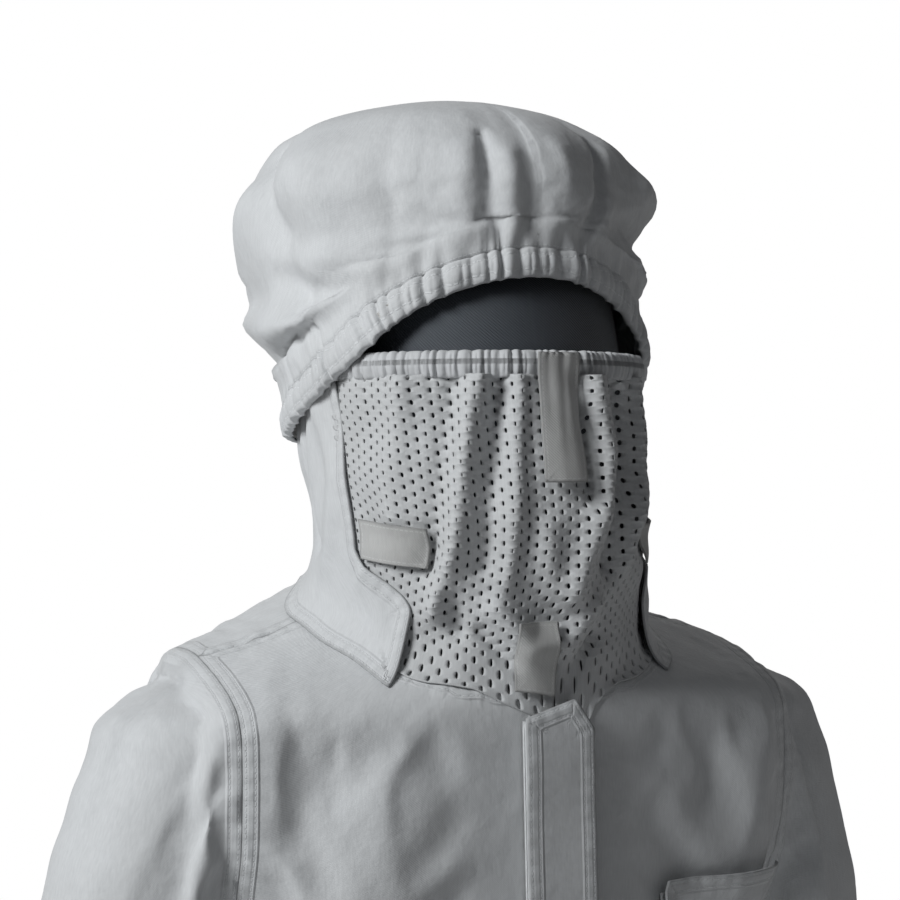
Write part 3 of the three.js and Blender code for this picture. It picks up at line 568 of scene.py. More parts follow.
def cloth_material(name, colour, worn, roughness=0.88, threads=1500.0, stitch=(0.002, 0.0075), lap=0.0088,
                   sheen=0.18, weave_depth=0.00007, seam_depth=0.0007):
    """Woven cloth with topstitched edges, from a clean colour and a slightly soiled one."""
    material = bpy.data.materials.new(name)
    material.use_nodes = True
    tree = material.node_tree
    shader = tree.nodes["Principled BSDF"]
    shader.inputs["Sheen Weight"].default_value = sheen
    shader.inputs["Sheen Roughness"].default_value = 0.5
    shader.inputs["Specular IOR Level"].default_value = 0.25
    weave = tree.nodes.new("ShaderNodeGroup")
    weave.node_tree = WEAVE
    weave.inputs["Threads"].default_value = threads
    tree.links.new(attribute_node(tree, "weave"), weave.inputs["Place"])
    seam = tree.nodes.new("ShaderNodeGroup")
    seam.node_tree = STITCH
    seam.inputs["First row"].default_value, seam.inputs["Second row"].default_value = stitch
    seam.inputs["Lap"].default_value = lap
    tree.links.new(attribute_node(tree, "seam"), seam.inputs["Seam"])
    place = tree.nodes.new("ShaderNodeTexCoord").outputs["Object"]
    blotch = range_node(tree, noise_node(tree, place, 9.0, 5.0, 0.6), 0.35, 0.75)
    base = mix_colour(tree, math_node(tree, "MULTIPLY", blotch, 0.55), colour, worn)
    slub_tone = range_node(tree, weave.outputs["Slub"], 0.3, 0.7, 0.94, 1.03)
    # Painted shade: the colour darkens in the weave's hollows and brightens on its raised threads.
    weave_hollow_shade = range_node(tree, weave.outputs["Height"], 0.1, 0.9, 0.965, 1.01)
    tone = math_node(tree, "MULTIPLY", slub_tone, weave_hollow_shade)
    shade = tree.nodes.new("ShaderNodeCombineColor")
    for socket in shade.inputs:
        tree.links.new(tone, socket)
    base = mix_colour(tree, 1.0, base, shade.outputs[0], "MULTIPLY")
    # Painted shade: the colour darkens towards 35% of itself along each cut edge.
    base = mix_colour(tree, math_node(tree, "MULTIPLY", seam.outputs["Edge shade"], 0.55), base,
                      tuple(0.35 * c for c in colour))
    base = mix_colour(tree, seam.outputs["Thread"], base, tuple(min(1, 1.12 * c) for c in colour))
    tree.links.new(base, shader.inputs["Base Color"])
    tree.links.new(range_node(tree, blotch, 0, 1, roughness, min(1, roughness + 0.07)), shader.inputs["Roughness"])
    crumple = noise_node(tree, place, 55.0, 4.0, 0.55)
    first = tree.nodes.new("ShaderNodeBump")
    first.inputs["Distance"].default_value = weave_depth
    tree.links.new(weave.outputs["Height"], first.inputs["Height"])
    second = tree.nodes.new("ShaderNodeBump")
    second.inputs["Distance"].default_value = 0.0011
    tree.links.new(crumple, second.inputs["Height"])
    tree.links.new(first.outputs[0], second.inputs["Normal"])
    third = tree.nodes.new("ShaderNodeBump")
    third.inputs["Distance"].default_value = seam_depth
    tree.links.new(seam.outputs["Height"], third.inputs["Height"])
    tree.links.new(second.outputs[0], third.inputs["Normal"])
    tree.links.new(third.outputs[0], shader.inputs["Normal"])
    return material


COTTON = cloth_material("White cotton drill", (0.66, 0.672, 0.68), (0.60, 0.605, 0.603))

FLAT_PANELS = {"back_panel": (0.50, 0.52), "front_panel_left": (0.30, 0.42), "front_panel_right": (0.30, 0.42),
               "trouser_front_left": (0.34, 1.06), "trouser_front_right": (0.34, 1.06),
               "trouser_back_left": (0.34, 1.06), "trouser_back_right": (0.34, 1.06),
               "sleeve_left": (0.46, 0.64), "sleeve_right": (0.46, 0.64)}
leg_share = smoothstep(-rest[:, 2], 0.60, 0.80)
body_run = around_body * 0.16 * (1 - leg_share) + around_leg * 0.095 * leg_share
panels = {}
for number, name in enumerate(PANELS):
    panel = suit.copy()
    panel.data = suit.data.copy()
    panel.name = panel.data.name = name + "_cloth"
    bpy.context.collection.objects.link(panel)
    panel.vertex_groups.clear()
    if name.startswith("sleeve"):
        set_weave(panel, around_arm * 0.056, rest[:, 2] - 0.8 * np.abs(rest[:, 0]))
    else:
        set_weave(panel, body_run, rest[:, 2] - 0.9 * np.abs(rest[:, 1]))
    work = bmesh.new()
    work.from_mesh(panel.data)
    work.faces.ensure_lookup_table()
    bmesh.ops.delete(work, geom=[f for f in work.faces if panel_of[f.index] != number], context="FACES")
    work.to_mesh(panel.data)
    work.free()
    fine = panel.modifiers.new("fine", "SUBSURF")
    fine.levels = fine.render_levels = 1
    apply_modifiers(panel)
    mark_edges(panel)
    thicken(panel, 0.0014)
    panel.data.materials.append(COTTON)
    declare(panel, "suit", [name], FLAT_PANELS[name])
    panels[name] = panel
bpy.data.objects.remove(suit)

# ---------- gathered casings at the cuffs, the hems and the waist ----------
# Each casing is a strip of the suit's cotton folded over a flat elastic and stitched along both edges. The
# relaxed elastic draws it up into small even gathers.
def gathers(angle, count, seed):
    """Rounded puckers with sharp creases between them, count of them in a full turn, from -0.5 to 0.5."""
    slow, quick = max(1, round(count / 5.3)), max(1, round(count / 2.7))
    phase = count * angle + 1.5 * np.sin(slow * angle + seed) + 0.9 * np.sin(quick * angle + 2.3 * seed)
    strength = 0.68 + 0.32 * np.sin(max(1, round(count / 3.9)) * angle + 1.7 * seed)
    return (np.abs(np.sin(phase / 2)) ** 0.8 - 0.5) * strength


def add_grid(name, points, closed=False):
    """A sheet from rows of points, with its own run across and up as the weave's place."""
    rows, columns = points.shape[:2]
    faces = []
    last = columns if closed else columns - 1
    for row in range(rows - 1):
        for i in range(last):
            j = (i + 1) % columns
            faces.append((row * columns + i, row * columns + j,
                          (row + 1) * columns + j, (row + 1) * columns + i))
    piece = add_piece(name, points.reshape(-1, 3), faces)
    step_u = np.linalg.norm(np.diff(points, axis=1), axis=2).mean(0)
    step_v = np.linalg.norm(np.diff(points, axis=0), axis=2).mean(1)
    u = np.concatenate([[0], np.cumsum(step_u)])
    v = np.concatenate([[0], np.cumsum(step_v)])
    set_weave(piece, np.tile(u, rows), np.repeat(v, columns))
    return piece


def gathered_casing(name, place, angles, band, count, seed, depth, lip=5.0, closed=True):
    """place(angle, out, up) gives the points of a strip whose edges turn in by a lip, in millimetres."""
    profile = [(-lip, 0.0), (-lip * 0.5, -0.3), (-1.0, 0.0), (0.2, 1.2), (0.6, band * 0.16), (1.5, band * 0.3),
               (2.0, band * 0.5), (1.5, band * 0.7), (0.6, band * 0.84), (0.2, band - 1.2), (-1.0, band),
               (-lip * 0.5, band + 0.3), (-lip, band)]
    wave = gathers(angles, count, seed)
    rows = []
    for out_by, up_by in profile:
        share = math.sin(math.pi * min(max(up_by / band, 0), 1))
        strength = depth * (1.0 - 0.35 * share) if out_by > -2 else depth * 0.4
        ripple = 0.5 * gathers(angles + 0.3, round(count * 1.7), seed + 4) * share
        edge = 0.9 * wave if up_by <= 0.5 or up_by >= band - 0.5 else 0
        rows.append(place(angles, out_by + strength * (wave + ripple), up_by + edge))
    piece = add_grid(name, np.stack(rows), closed)
    return piece


def add_casing(name, nodes, body, place, angles, band, count, seed, depth, shape, closed=True, material=None):
    piece = gathered_casing(name, place, angles, band, count, seed, depth, closed=closed)
    mark_edges(piece)
    thicken(piece, 0.0011)
    piece.data.materials.append(material or CASING_COTTON)
    declare(piece, body, nodes, shape)
    return piece


CASING_COTTON = cloth_material("White cotton casing", (0.65, 0.662, 0.67), (0.57, 0.575, 0.573),
                               stitch=(0.0078, 0.0078), lap=-1.0, seam_depth=0.0005)
full_turn = np.linspace(0, 2 * math.pi, 420, endpoint=False)
CUFF_R, CUFF_BAND, HEM_R, HEM_BAND, ANKLE_X = 43, 26, 72, 36, 135
for side, label in ((1, "left"), (-1, "right")):
    at, along, level, third = arm_axes(side, len(ARM) - 1)

    def cuff_place(angle, out, up):
        base = np.array(at + along * (CUFF_BAND + 1) * MM)
        ray = -np.outer(np.cos(angle), level) + np.outer(np.sin(angle), third)
        radius = (CUFF_R + out) * MM * np.ones_like(angle)
        return base + ray * radius[:, None] - np.outer(np.asarray(up) * MM * np.ones_like(angle), along)

    add_casing(f"cuff_casing_{label}_cloth", [f"cuff_casing_{label}"], "suit", cuff_place, full_turn,
               CUFF_BAND, 36, 3.1 * side, 3.0, (0.28, 0.038))
    ring = table([(-1400, HEM_R, HEM_R, HEM_R, side * ANKLE_X), (-1450, HEM_R, HEM_R, HEM_R, side * ANKLE_X)])

    def hem_place(angle, out, up):
        return on_table(ring, angle, HEM_Z + np.maximum(up, 0.3), out)

    add_casing(f"hem_casing_{label}_cloth", [f"hem_casing_{label}"], "suit", hem_place, full_turn,
               HEM_BAND, 46, 1.3 * side, 3.4, (0.47, 0.048))


def waist_place(angle, out, up):
    return on_table(BODY, angle, np.full_like(angle, WAIST_Z - 17) + up, out + 6)


waist_turn = np.radians(np.linspace(108, 252, 420))
add_casing("waist_casing_cloth", ["waist_casing"], "suit", waist_place, waist_turn, 34, 84, 2.2, 3.0,
           (0.42, 0.046), closed=False)

# ---------- patch pockets ----------
# A chest pocket under a loose flap on the wearer's left, and two slanted hip pockets, all of the suit's cotton,
# turned in at their edges and sewn down with two rows of stitching.
def lay_on(surface, points, out, stand):
    """Moves points along their outward rays so that they stand clear of a surface."""
    laid = []
    for point, ray in zip(points, out):
        start = Vector(point) + Vector(ray) * 0.05
        hit = surface.ray_cast(start, -Vector(ray), 0.12)[0]
        laid.append(np.array(hit + Vector(ray) * stand) if hit else point)
    return np.array(laid)


def softened(points, rounds=3):
    """Evens out a grid of points, keeping its borders."""
    for _ in range(rounds):
        inner = (points[:-2, 1:-1] + points[2:, 1:-1] + points[1:-1, :-2] + points[1:-1, 2:]) / 4
        points[1:-1, 1:-1] = (points[1:-1, 1:-1] + inner) / 2
    return points


def patch(name, span, low, high, slant=0.0, stand=0.0019, rounding=9, bulge=0.0, columns=34, rows=40):
    across, up = np.meshgrid(np.linspace(0, 1, columns), np.linspace(0, 1, rows))
    angle = np.radians(span[0] + (span[1] - span[0]) * across)
    corner = np.clip(1 - np.minimum(across, 1 - across) / 0.16, 0, 1) ** 2 * rounding
    bottom = low + corner
    level = bottom + (high - slant * across - bottom) * up
    points = on_table(BODY, angle, level)
    ray = np.stack([np.sin(angle), -np.cos(angle), 0 * angle], -1)
    laid = lay_on(suit_surface, points.reshape(-1, 3), ray.reshape(-1, 3), stand).reshape(points.shape)
    laid = softened(laid, 4)
    belly = np.sin(math.pi * across) * np.sin(math.pi * np.clip(up * 0.9 + 0.1, 0, 1)) * bulge
    laid = laid + ray * belly[..., None]
    return add_grid(name, laid)


def finish_patch(piece, body, node, shape):
    mark_edges(piece)
    thicken(piece, 0.0015, levels=1, offset=0.6)
    piece.data.materials.append(COTTON)
    declare(piece, body, [node], shape)


finish_patch(patch("chest_pocket_cloth", (20, 45), -300, -165, bulge=0.003), "suit", "chest_pocket",
             (0.080, 0.138))
finish_patch(patch("chest_pocket_flap_cloth", (19.5, 45.5), -204, -157, stand=0.0072, rounding=5, rows=20),
             "pocket_flap", "chest_pocket_flap", (0.090, 0.05))
finish_patch(patch("hip_pocket_left_cloth", (30, 62), -655, -480, slant=55, bulge=0.003), "suit",
             "hip_pocket_left", (0.11, 0.175))
finish_patch(patch("hip_pocket_right_cloth", (-62, -30), -655, -535, slant=-55, bulge=0.003), "suit",
             "hip_pocket_right", (0.11, 0.175))

# ---------- front zip ----------
# A brass zip on two woven tapes closes the front from the neck to below the waist. Its teeth are clamped
# on the tapes' edges, with a stop at the foot, and the slider runs on them with its pull.
SLOPE = math.atan(28 / 595)
ZIP_LENGTH = 595 / math.cos(SLOPE) - 6


def placket(points):
    """Points of the placket's own frame, with -Y out of the suit and the zip's top at zero, in millimetres."""
    points = np.asarray(points, float)
    px, py, pz = points[..., 0], points[..., 1], points[..., 2]
    cosine, sine = math.cos(-SLOPE), math.sin(-SLOPE)
    return np.stack([px, py * cosine - pz * sine - 122, py * sine + pz * cosine + ZIP_TOP_Z], -1) * MM


def metal(name, colour, worn, rough):
    material = bpy.data.materials.new(name)
    material.use_nodes = True
    tree = material.node_tree
    shader = tree.nodes["Principled BSDF"]
    shader.inputs["Metallic"].default_value = 1.0
    place = tree.nodes.new("ShaderNodeTexCoord").outputs["Object"]
    scuff = range_node(tree, noise_node(tree, place, 420.0, 5.0, 0.65), 0.35, 0.7)
    tree.links.new(mix_colour(tree, scuff, colour, worn), shader.inputs["Base Color"])
    tree.links.new(range_node(tree, scuff, 0, 1, rough, rough + 0.22), shader.inputs["Roughness"])
    bump = tree.nodes.new("ShaderNodeBump")
    bump.inputs["Distance"].default_value = 0.00008
    tree.links.new(noise_node(tree, place, 900.0, 3.0), bump.inputs["Height"])
    tree.links.new(bump.outputs[0], shader.inputs["Normal"])
    return material


BRASS = metal("Zip brass", (0.62, 0.47, 0.20), (0.42, 0.31, 0.14), 0.28)
TAPE_CLOTH = cloth_material("Cotton tape", (0.54, 0.54, 0.53), (0.48, 0.475, 0.46), threads=1100.0,
                            stitch=(0.0022, 0.0022), lap=-1.0, weave_depth=0.0002, seam_depth=0.0001)
for side, label in ((1, "left"), (-1, "right")):
    across, up = np.meshgrid(np.linspace(0.1, 14, 9), np.linspace(-ZIP_LENGTH, 10, 122))
    strip = add_grid(f"zip_tape_{label}_cloth",
                     placket(np.stack([across * side, 4.3 + 0.15 * np.sin(up / 9), up], -1)))
    mark_edges(strip)
    thicken(strip, 0.0007, offset=0)
    strip.data.materials.append(TAPE_CLOTH)
    declare(strip, "suit", [f"zip_tape_{label}"], (0.014, 0.60))

TOOTH_PITCH = 2.9
bpy.ops.object.select_all(action="DESELECT")
bpy.ops.mesh.primitive_cube_add(size=1, location=(0, 0, 0))
tooth = bpy.context.object
tooth.scale = (3.6 * MM, 2.1 * MM, 1.25 * MM)
bpy.ops.object.transform_apply(location=False, rotation=False, scale=True)
round_edges = tooth.modifiers.new("round", "BEVEL")
round_edges.width = 0.0003
round_edges.segments = 1
apply_modifiers(tooth)
tooth_points = positions(tooth) / MM
tooth_faces = [list(face.vertices) for face in tooth.data.polygons]
bpy.data.objects.remove(tooth)
points, faces = [], []
for i in range(int((ZIP_LENGTH - 14) / TOOTH_PITCH * 2)):
    side = 1 if i % 2 else -1
    down = 6.5 + i * TOOTH_PITCH / 2
    placed = tooth_points + np.array([side * 1.25, 2.2, -down])
    faces += [[k + len(points) * len(tooth_points) for k in face] for face in tooth_faces]
    points.append(placed)
teeth = add_piece("zip_teeth", placket(np.concatenate(points)), faces)
active(teeth)
bpy.ops.object.shade_smooth_by_angle(angle=math.radians(35))
teeth.data.materials.append(BRASS)
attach(teeth, "suit")
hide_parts("zip_chain")
for node in ("zip_bottom_stop", "zip_slider", "zip_pull"):
    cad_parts[node].data.materials.clear()
    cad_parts[node].data.materials.append(BRASS)

# ---------- storm flap ----------
# A double strip of cotton covers the zip. It is sewn down along the wearer's right and ends in a point at the
# collar; its free edge lifts to reach the slider.
across, down = np.meshgrid(np.linspace(-22.5, 22.5, 25), np.linspace(0, 1, 170))
top = np.where(across < 10.5, -6 + 10 * (across + 22.5) / 33, 4 - 18 * (across - 10.5) / 12)
level = top + (-585 - top) * down
ripple = waves(23, 6, 0.09)(across * MM * 0.6, level * MM) * 0.55 + 0.25 * np.sin(level / 5.5) * (np.abs(across) / 22.5) ** 6
flap = add_grid("storm_flap_cloth", placket(np.stack([across, -6.8 + ripple, level], -1)))
root_at, root_down = np.meshgrid(np.linspace(-6.8, -1.0, 6), np.linspace(-8, -585, 120))
mark_edges(flap)
thicken(flap, 0.0018, offset=0)
root = add_grid("storm_flap_root", placket(np.stack([np.full_like(root_at, -21.6), root_at, root_down], -1)))
mark_edges(root)
thicken(root, 0.0016, offset=0)
bpy.ops.object.select_all(action="DESELECT")
root.select_set(True)
flap.select_set(True)
bpy.context.view_layer.objects.active = flap
bpy.ops.object.join()
flap.data.materials.append(COTTON)
declare(flap, "storm_flap", ["storm_flap"], (0.051, 0.59))

# ---------- lower hood: two cloth sides ----------
# The hood's sides are the suit's cotton, joined behind the head and sewn to the collar edge all round. They
# are cut long, so they blouse over the neck seam, and they overlap the veil's edges in front.
NECK = table([(168, 106, 130, 150), (150, 106, 130, 146), (119, 105, 135, 137), (93, 104, 139, 127),
              (67, 102, 142, 114), (50, 99.5, 139, 105), (20, 97, 128, 105), (-5, 97, 120, 105),
              (-36, 97, 117, 105)])
HOOD_TOP, VEIL_TOP_Z, VEIL_BAND = 165, 167, 16


def neck_seam(angle):
    return 8 - 42 * np.cos(angle)


def veil_half(z):
    return np.radians(53 + 25 * smoothstep(z, 10, 50))


spots = collar_points
ring_angle = np.arctan2(spots[:, 0] / 0.097, -(spots[:, 1] + 0.006) / 0.111)
ring_place = spots
order = np.argsort(ring_angle)
ring_angle, ring_place = ring_angle[order], ring_place[order]
for _ in range(3):
    ring_place = (np.roll(ring_place, 1, 0) + 2 * ring_place + np.roll(ring_place, -1, 0)) / 4


def collar_edge(angle):
    """The sewn upper edge of the body round the neck."""
    wrapped = (angle + math.pi) % (2 * math.pi) - math.pi
    found = [np.interp(wrapped, ring_angle, ring_place[:, k], period=2 * math.pi) for k in range(3)]
    return np.stack(found, -1)


def hem_line(reach):
    """The line that lies on the body's cloth this far outside the collar edge, for even angles all round."""
    turn = np.radians(np.arange(-180, 180, 3.0))
    ray = np.stack([np.sin(turn), -np.cos(turn), 0 * turn], -1)
    line = collar_edge(turn) + ray * (reach + 0.18 * reach * np.sin(7 * turn + 1) + 0.1 * reach * np.sin(13 * turn)
                                      )[:, None] * MM
    found = []
    for k, spot in enumerate(line):
        hit = suit_surface.ray_cast(Vector(spot) + Vector((0, 0, 0.03)), Vector((0, 0, -1)), 0.1)[0]
        if hit:
            found.append(k)
            line[k, 2] = hit[2] + 0.0016
    line[:, 2] = np.interp(turn, turn[found], line[found, 2], period=2 * math.pi)
    for _ in range(2):
        line = (np.roll(line, 1, 0) + 2 * line + np.roll(line, -1, 0)) / 4
    return turn, line + ray * 0.0012


def spread(angle, high, wall, hem, rise):
    """Cloth that leaves its wall this far above the neck seam and spreads outwards to its hem."""
    turn, line = hem
    wrapped = (angle + math.pi) % (2 * math.pi) - math.pi
    foot = np.stack([np.interp(wrapped, turn, line[:, k], period=2 * math.pi) for k in range(3)], -1)
    share = (1 - np.clip(high / rise, 0, 1)[..., None]) ** 2
    return foot * share + wall * (1 - share)


def stroke(angle, z, points, width, height, reach=2.05):
    """A ridge, or a hollow where height is below zero, along a line of (degrees, height) points."""
    px, py = np.degrees(angle) * reach, z
    nearest = np.full(np.shape(px), 1e9)
    for (a0, z0), (a1, z1) in zip(points, points[1:]):
        ax, ay, bx, by = a0 * reach, z0, a1 * reach, z1
        size = (bx - ax) ** 2 + (by - ay) ** 2
        share = np.clip(((px - ax) * (bx - ax) + (py - ay) * (by - ay)) / size, 0, 1)
        nearest = np.minimum(nearest, np.hypot(px - ax - share * (bx - ax), py - ay - share * (by - ay)))
    return height * np.exp(-(nearest / width) ** 2)


hood_waves = waves(31, 7, 0.085)
HOOD_FOLDS = [
    ([(-88, 140), (-84, 90), (-92, 40)], 9, 4.5), ([(-100, 150), (-108, 90), (-104, 50)], 7, -4.5),
    ([(-70, 30), (-58, 2), (-40, -14)], 8, 5.0), ([(-95, 25), (-70, 6), (-50, -8)], 7, -4.0),
    ([(-122, 130), (-126, 70), (-118, 20)], 9, 5.0), ([(88, 140), (84, 80), (96, 30)], 9, 5.0),
    ([(104, 150), (110, 90), (104, 40)], 7, -4.5), ([(68, 30), (52, 0), (34, -16)], 8, 5.0),
    ([(128, 130), (124, 70), (132, 25)], 9, 5.0), ([(150, 140), (156, 80), (150, 40)], 8, -4.0),
    ([(-150, 140), (-146, 80), (-154, 40)], 8, 4.5), ([(172, 130), (168, 70)], 10, 4.0),
]


def hood_surface(angle, z, out=0.0):
    """The lower hood's outer surface: its table, its blousing above the seam, and its folds."""
    high = z - neck_seam(angle)
    side_share = np.sin(angle) ** 2
    blouse = (2.5 + 1.5 * side_share) * (high / 22) * np.exp(1 - high / 22) * (high > 0)
    lift = 0.0
    for points, width, height in HOOD_FOLDS:
        for turn in (0, 2 * math.pi, -2 * math.pi):
            lift = lift + stroke(angle + turn, z, points, width, height)
    lift = lift * smoothstep(high, 6, 30) * smoothstep(np.abs(angle), 0.86, 1.05)
    drift = 1.7 * hood_waves(angle * 0.11, z * MM) * smoothstep(high, 0, 30)
    shaped = on_table(NECK, angle, z, out + blouse + lift + drift)
    return spread(angle, high, shaped, HOOD_HEM, 36)


HOOD_HEM = hem_line(15)
for side, label in ((1, "left"), (-1, "right")):
    across, up = np.meshgrid(np.linspace(0, 1, 120), np.linspace(0, 1, 90) ** 1.25)
    level = HOOD_TOP * up
    for _ in range(8):
        start = veil_half(level) - np.radians(2.6)
        angle = side * (start + (math.pi - start) * across)
        level = neck_seam(angle) + (HOOD_TOP - neck_seam(angle)) * up
    front_lap = 1.6 * smoothstep(across, 0.06, 0.0)
    shaped = hood_surface(angle, level, front_lap)
    piece = add_grid(f"hood_side_{label}_cloth", shaped if side > 0 else shaped[:, ::-1])
    mark_edges(piece, from_top=True)
    thicken(piece, 0.0013)
    piece.data.materials.append(COTTON)
    declare(piece, "suit", [f"hood_side_{label}"], (0.295, 0.19))

# ---------- veil ----------
# The veil before the mouth and the cheeks is a knitted net of white polyester with tall staggered holes. It is
# gathered into a band at its top, and its slack falls in long folds from there down to the collar.
VEIL_FOLDS = [
    ([(-27, 152), (-33, 100), (-38, 50), (-42, 12)], 7.5, 7.5), ([(-34, 150), (-41, 95), (-48, 40)], 7, -4.5),
    ([(-20, 148), (-25, 95), (-29, 40)], 6, -5.0), ([(-14, 150), (-17, 95), (-20, 30)], 6, 4.0),
    ([(-50, 150), (-55, 110), (-58, 70)], 10, 4.0), ([(3, 150), (8, 110), (9, 80)], 5, -5.5),
    ([(12, 150), (14.5, 108), (12.5, 78), (3, 22)], 10, 8.5), ([(27, 150), (28, 100), (22, 40)], 10, -8.0),
    ([(38, 150), (36, 95), (30, 40)], 8, 5.0), ([(54, 150), (52, 100), (46, 50)], 8, -4.0),
    ([(-22, 14), (-10, -8), (4, -6), (14, 14)], 9, 6.5), ([(-26, 0), (-12, -24), (4, -28), (16, -6)], 5, -4.0),
    ([(-40, 30), (-34, 0)], 6, -3.5), ([(-8, 60), (-4, 25)], 8, 3.0),
]
veil_waves = waves(47, 7, 0.06)


def veil_surface(angle, z, out=0.0):
    high = z - neck_seam(angle)
    below_band = VEIL_TOP_Z - VEIL_BAND - z
    lift = 0.0
    for points, width, height in VEIL_FOLDS:
        lift = lift + stroke(angle, z, points, width, height)
    gather = 3.0 * gathers(angle, 118, 1.9) * np.exp(-np.maximum(below_band, 0) / 10)
    gather = gather + 4.2 * gathers(angle, 52, 0.6) * np.exp(-np.maximum(below_band, 0) / 34)
    inner = smoothstep(veil_half(z) - np.abs(angle), 0.02, 0.16)
    drift = 1.3 * veil_waves(angle * 0.12, z * MM)
    moved = (1.35 * lift * smoothstep(high, 2, 22) + drift) * inner + gather * inner
    blouse = 4.5 * (high / 15) * np.exp(1 - high / 15) * (high > 0)
    shaped = on_table(NECK, angle, z, out + moved + blouse)
    return spread(angle, high, shaped, VEIL_HEM, 18)


VEIL_HEM = hem_line(5)


HOLE_PITCH, ROW_PITCH, HOLE_HALF = 12.4, 4.0, (0.95, 1.75)
REACH = 128.0
NET_TOP = VEIL_TOP_Z - VEIL_BAND + 2
ROWS = round((NET_TOP - neck_seam(0)) / ROW_PITCH)
vertex_of, net_points, net_faces = {}, [], []


def net_point(key, u, row):
    """The number of one point of the net, at a distance round the face and a row above the neck seam."""
    if key not in vertex_of:
        vertex_of[key] = len(net_points)
        foot = neck_seam(u / REACH)
        net_points.append((u, foot + (NET_TOP - foot) * row / ROWS))
    return vertex_of[key]


for row in range(ROWS):
    for column in range(-17, 18):
        u0 = column * HOLE_PITCH + (HOLE_PITCH / 2 if row % 2 else 0)
        turn = (u0 + HOLE_PITCH / 2) / REACH
        middle = neck_seam(turn) + (NET_TOP - neck_seam(turn)) * (row + 0.5) / ROWS
        if abs(turn) > veil_half(middle) + 0.02:
            continue
        first = 4 * column + (2 if row % 2 else 0)
        border = [net_point((first + k, row), u0 + k * HOLE_PITCH / 4, row) for k in range(5)]
        border += [net_point((first + k, row + 1), u0 + k * HOLE_PITCH / 4, row + 1) for k in range(4, -1, -1)]
        hole = []
        for k in range(10):
            aim = math.radians(-162 + 36 * k)
            hole.append(net_point(("hole", column, row, k), u0 + HOLE_PITCH / 2 + HOLE_HALF[0] * math.cos(aim),
                                  row + 0.5 + HOLE_HALF[1] / ROW_PITCH * math.sin(aim)))
        for k in range(10):
            net_faces.append((border[k], border[(k + 1) % 10], hole[(k + 1) % 10], hole[k]))
net_points = np.array(net_points)
net_u, net_v = net_points.T
net_angle = net_u / REACH
net = add_piece("veil_net", veil_surface(net_angle, net_v), net_faces)
set_weave(net, net_u * MM, net_v * MM)
layer = net.data.attributes.new("seam", "FLOAT_VECTOR", "POINT")
layer.data.foreach_set("vector", np.tile([0.0, 0.5, 0.0], len(net_points)))
thicken(net, 0.0009, levels=1)
NET = cloth_material("White polyester net", (0.62, 0.63, 0.635), (0.56, 0.565, 0.56), roughness=0.7, threads=1900.0,
                     lap=-1.0, sheen=0.1, weave_depth=0.00012)
net.data.materials.append(NET)
declare(net, "suit", ["veil_mesh"], (0.36, 0.19))
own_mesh(net)

# The band is the same net without its holes, folded over a narrow elastic and closely gathered.
def band_place(angle, out, up):
    return on_table(NECK, angle, VEIL_TOP_Z - VEIL_BAND + up * np.ones_like(angle), out + 0.6)


BAND_CLOTH = cloth_material("Veil band", (0.60, 0.61, 0.62), (0.53, 0.535, 0.54), stitch=(0.0014, 0.0014), lap=-1.0,
                            seam_depth=0.0005)
band_turn = np.radians(np.linspace(-75, 75, 640))
add_casing("veil_band_cloth", ["veil_top_casing"], "veil_band", band_place, band_turn, VEIL_BAND, 112, 1.9, 3.4,
           (0.33, 0.028), closed=False, material=BAND_CLOTH)

# ---------- nose tape and fastening tabs ----------
# Plain woven cotton tapes, cut square and stitched round. One hangs from the band before the nose, two stand on
# the veil's sides and one on its chin.
def add_tab(name, node, body, span, bottom, top, droop, stand, shape, follow=0.55, bend=0.8):
    across, up = np.meshgrid(np.linspace(0, 1, 30), np.linspace(0, 1, 40))
    angle = np.radians(span[0] + (span[1] - span[0]) * across)
    level = bottom + (top - bottom) * up - droop * across
    sag = bend * np.sin(3.1 * across + 2.2 * up) + 0.5 * np.sin(7 * up + across)
    on_net = veil_surface(angle, level, stand)
    plain = on_table(NECK, angle, level, stand + 3.5)
    surface = follow * on_net + (1 - follow) * plain
    ray = np.stack([np.sin(angle), -np.cos(angle), 0 * angle], -1)
    piece = add_grid(name, softened(surface + ray * sag[..., None] * MM, 14))
    mark_edges(piece)
    thicken(piece, 0.0012, offset=0.2)
    piece.data.materials.append(TAPE_CLOTH)
    declare(piece, body, [node], shape)


add_tab("nose_tape_cloth", "nose_tape", "veil_band", (-9, 5), 89, 166, 0, 4.6, (0.029, 0.078))
add_tab("side_pad_right_cloth", "side_pad_right", "suit", (-71, -47), 42, 66, 5, 3.4, (0.048, 0.025), 0.8)
add_tab("side_pad_left_cloth", "side_pad_left", "suit", (47, 71), 37, 61, -5, 2.0, (0.048, 0.025), 1.0)
add_tab("chin_pad_cloth", "chin_pad", "suit", (-15, -1), -27, 6, 0, 4.4, (0.031, 0.040), 0.95)

# ---------- crown of the hood ----------
# A full cap of the suit's cotton, gathered into the brim all round. It stands away from the head, sags over the
# brim behind the wearer's right cheek, and is creased above the forehead.
CROWN = table([(354, 10, -38, 62), (352, 34, -8, 88), (345, 66, 28, 125), (330, 100, 66, 160),
               (310, 121, 92, 184), (283, 133, 105, 194), (250, 129, 104, 195), (228, 127, 104, 194),
               (202, 124, 106, 190), (189, 121, 108, 184), (170, 117, 130, 172), (150, 114.5, 136, 158),
               (131, 114, 138, 152), (100, 114, 140, 149)])
CROWN_TOP, BRIM_BAND = 354, 18
levels = np.linspace(CROWN[0, 0], CROWN[-1, 0], 90)
CROWN = np.stack([levels] + [np.interp(levels, CROWN[:, 0], CROWN[:, k]) for k in range(1, 6)], -1)
for _ in range(14):
    CROWN[1:-1, 1:] = (CROWN[:-2, 1:] + 2 * CROWN[1:-1, 1:] + CROWN[2:, 1:]) / 4


def brim_height(angle):
    return 148 + 50 * np.cos(angle) + 15 * np.cos(2 * angle)


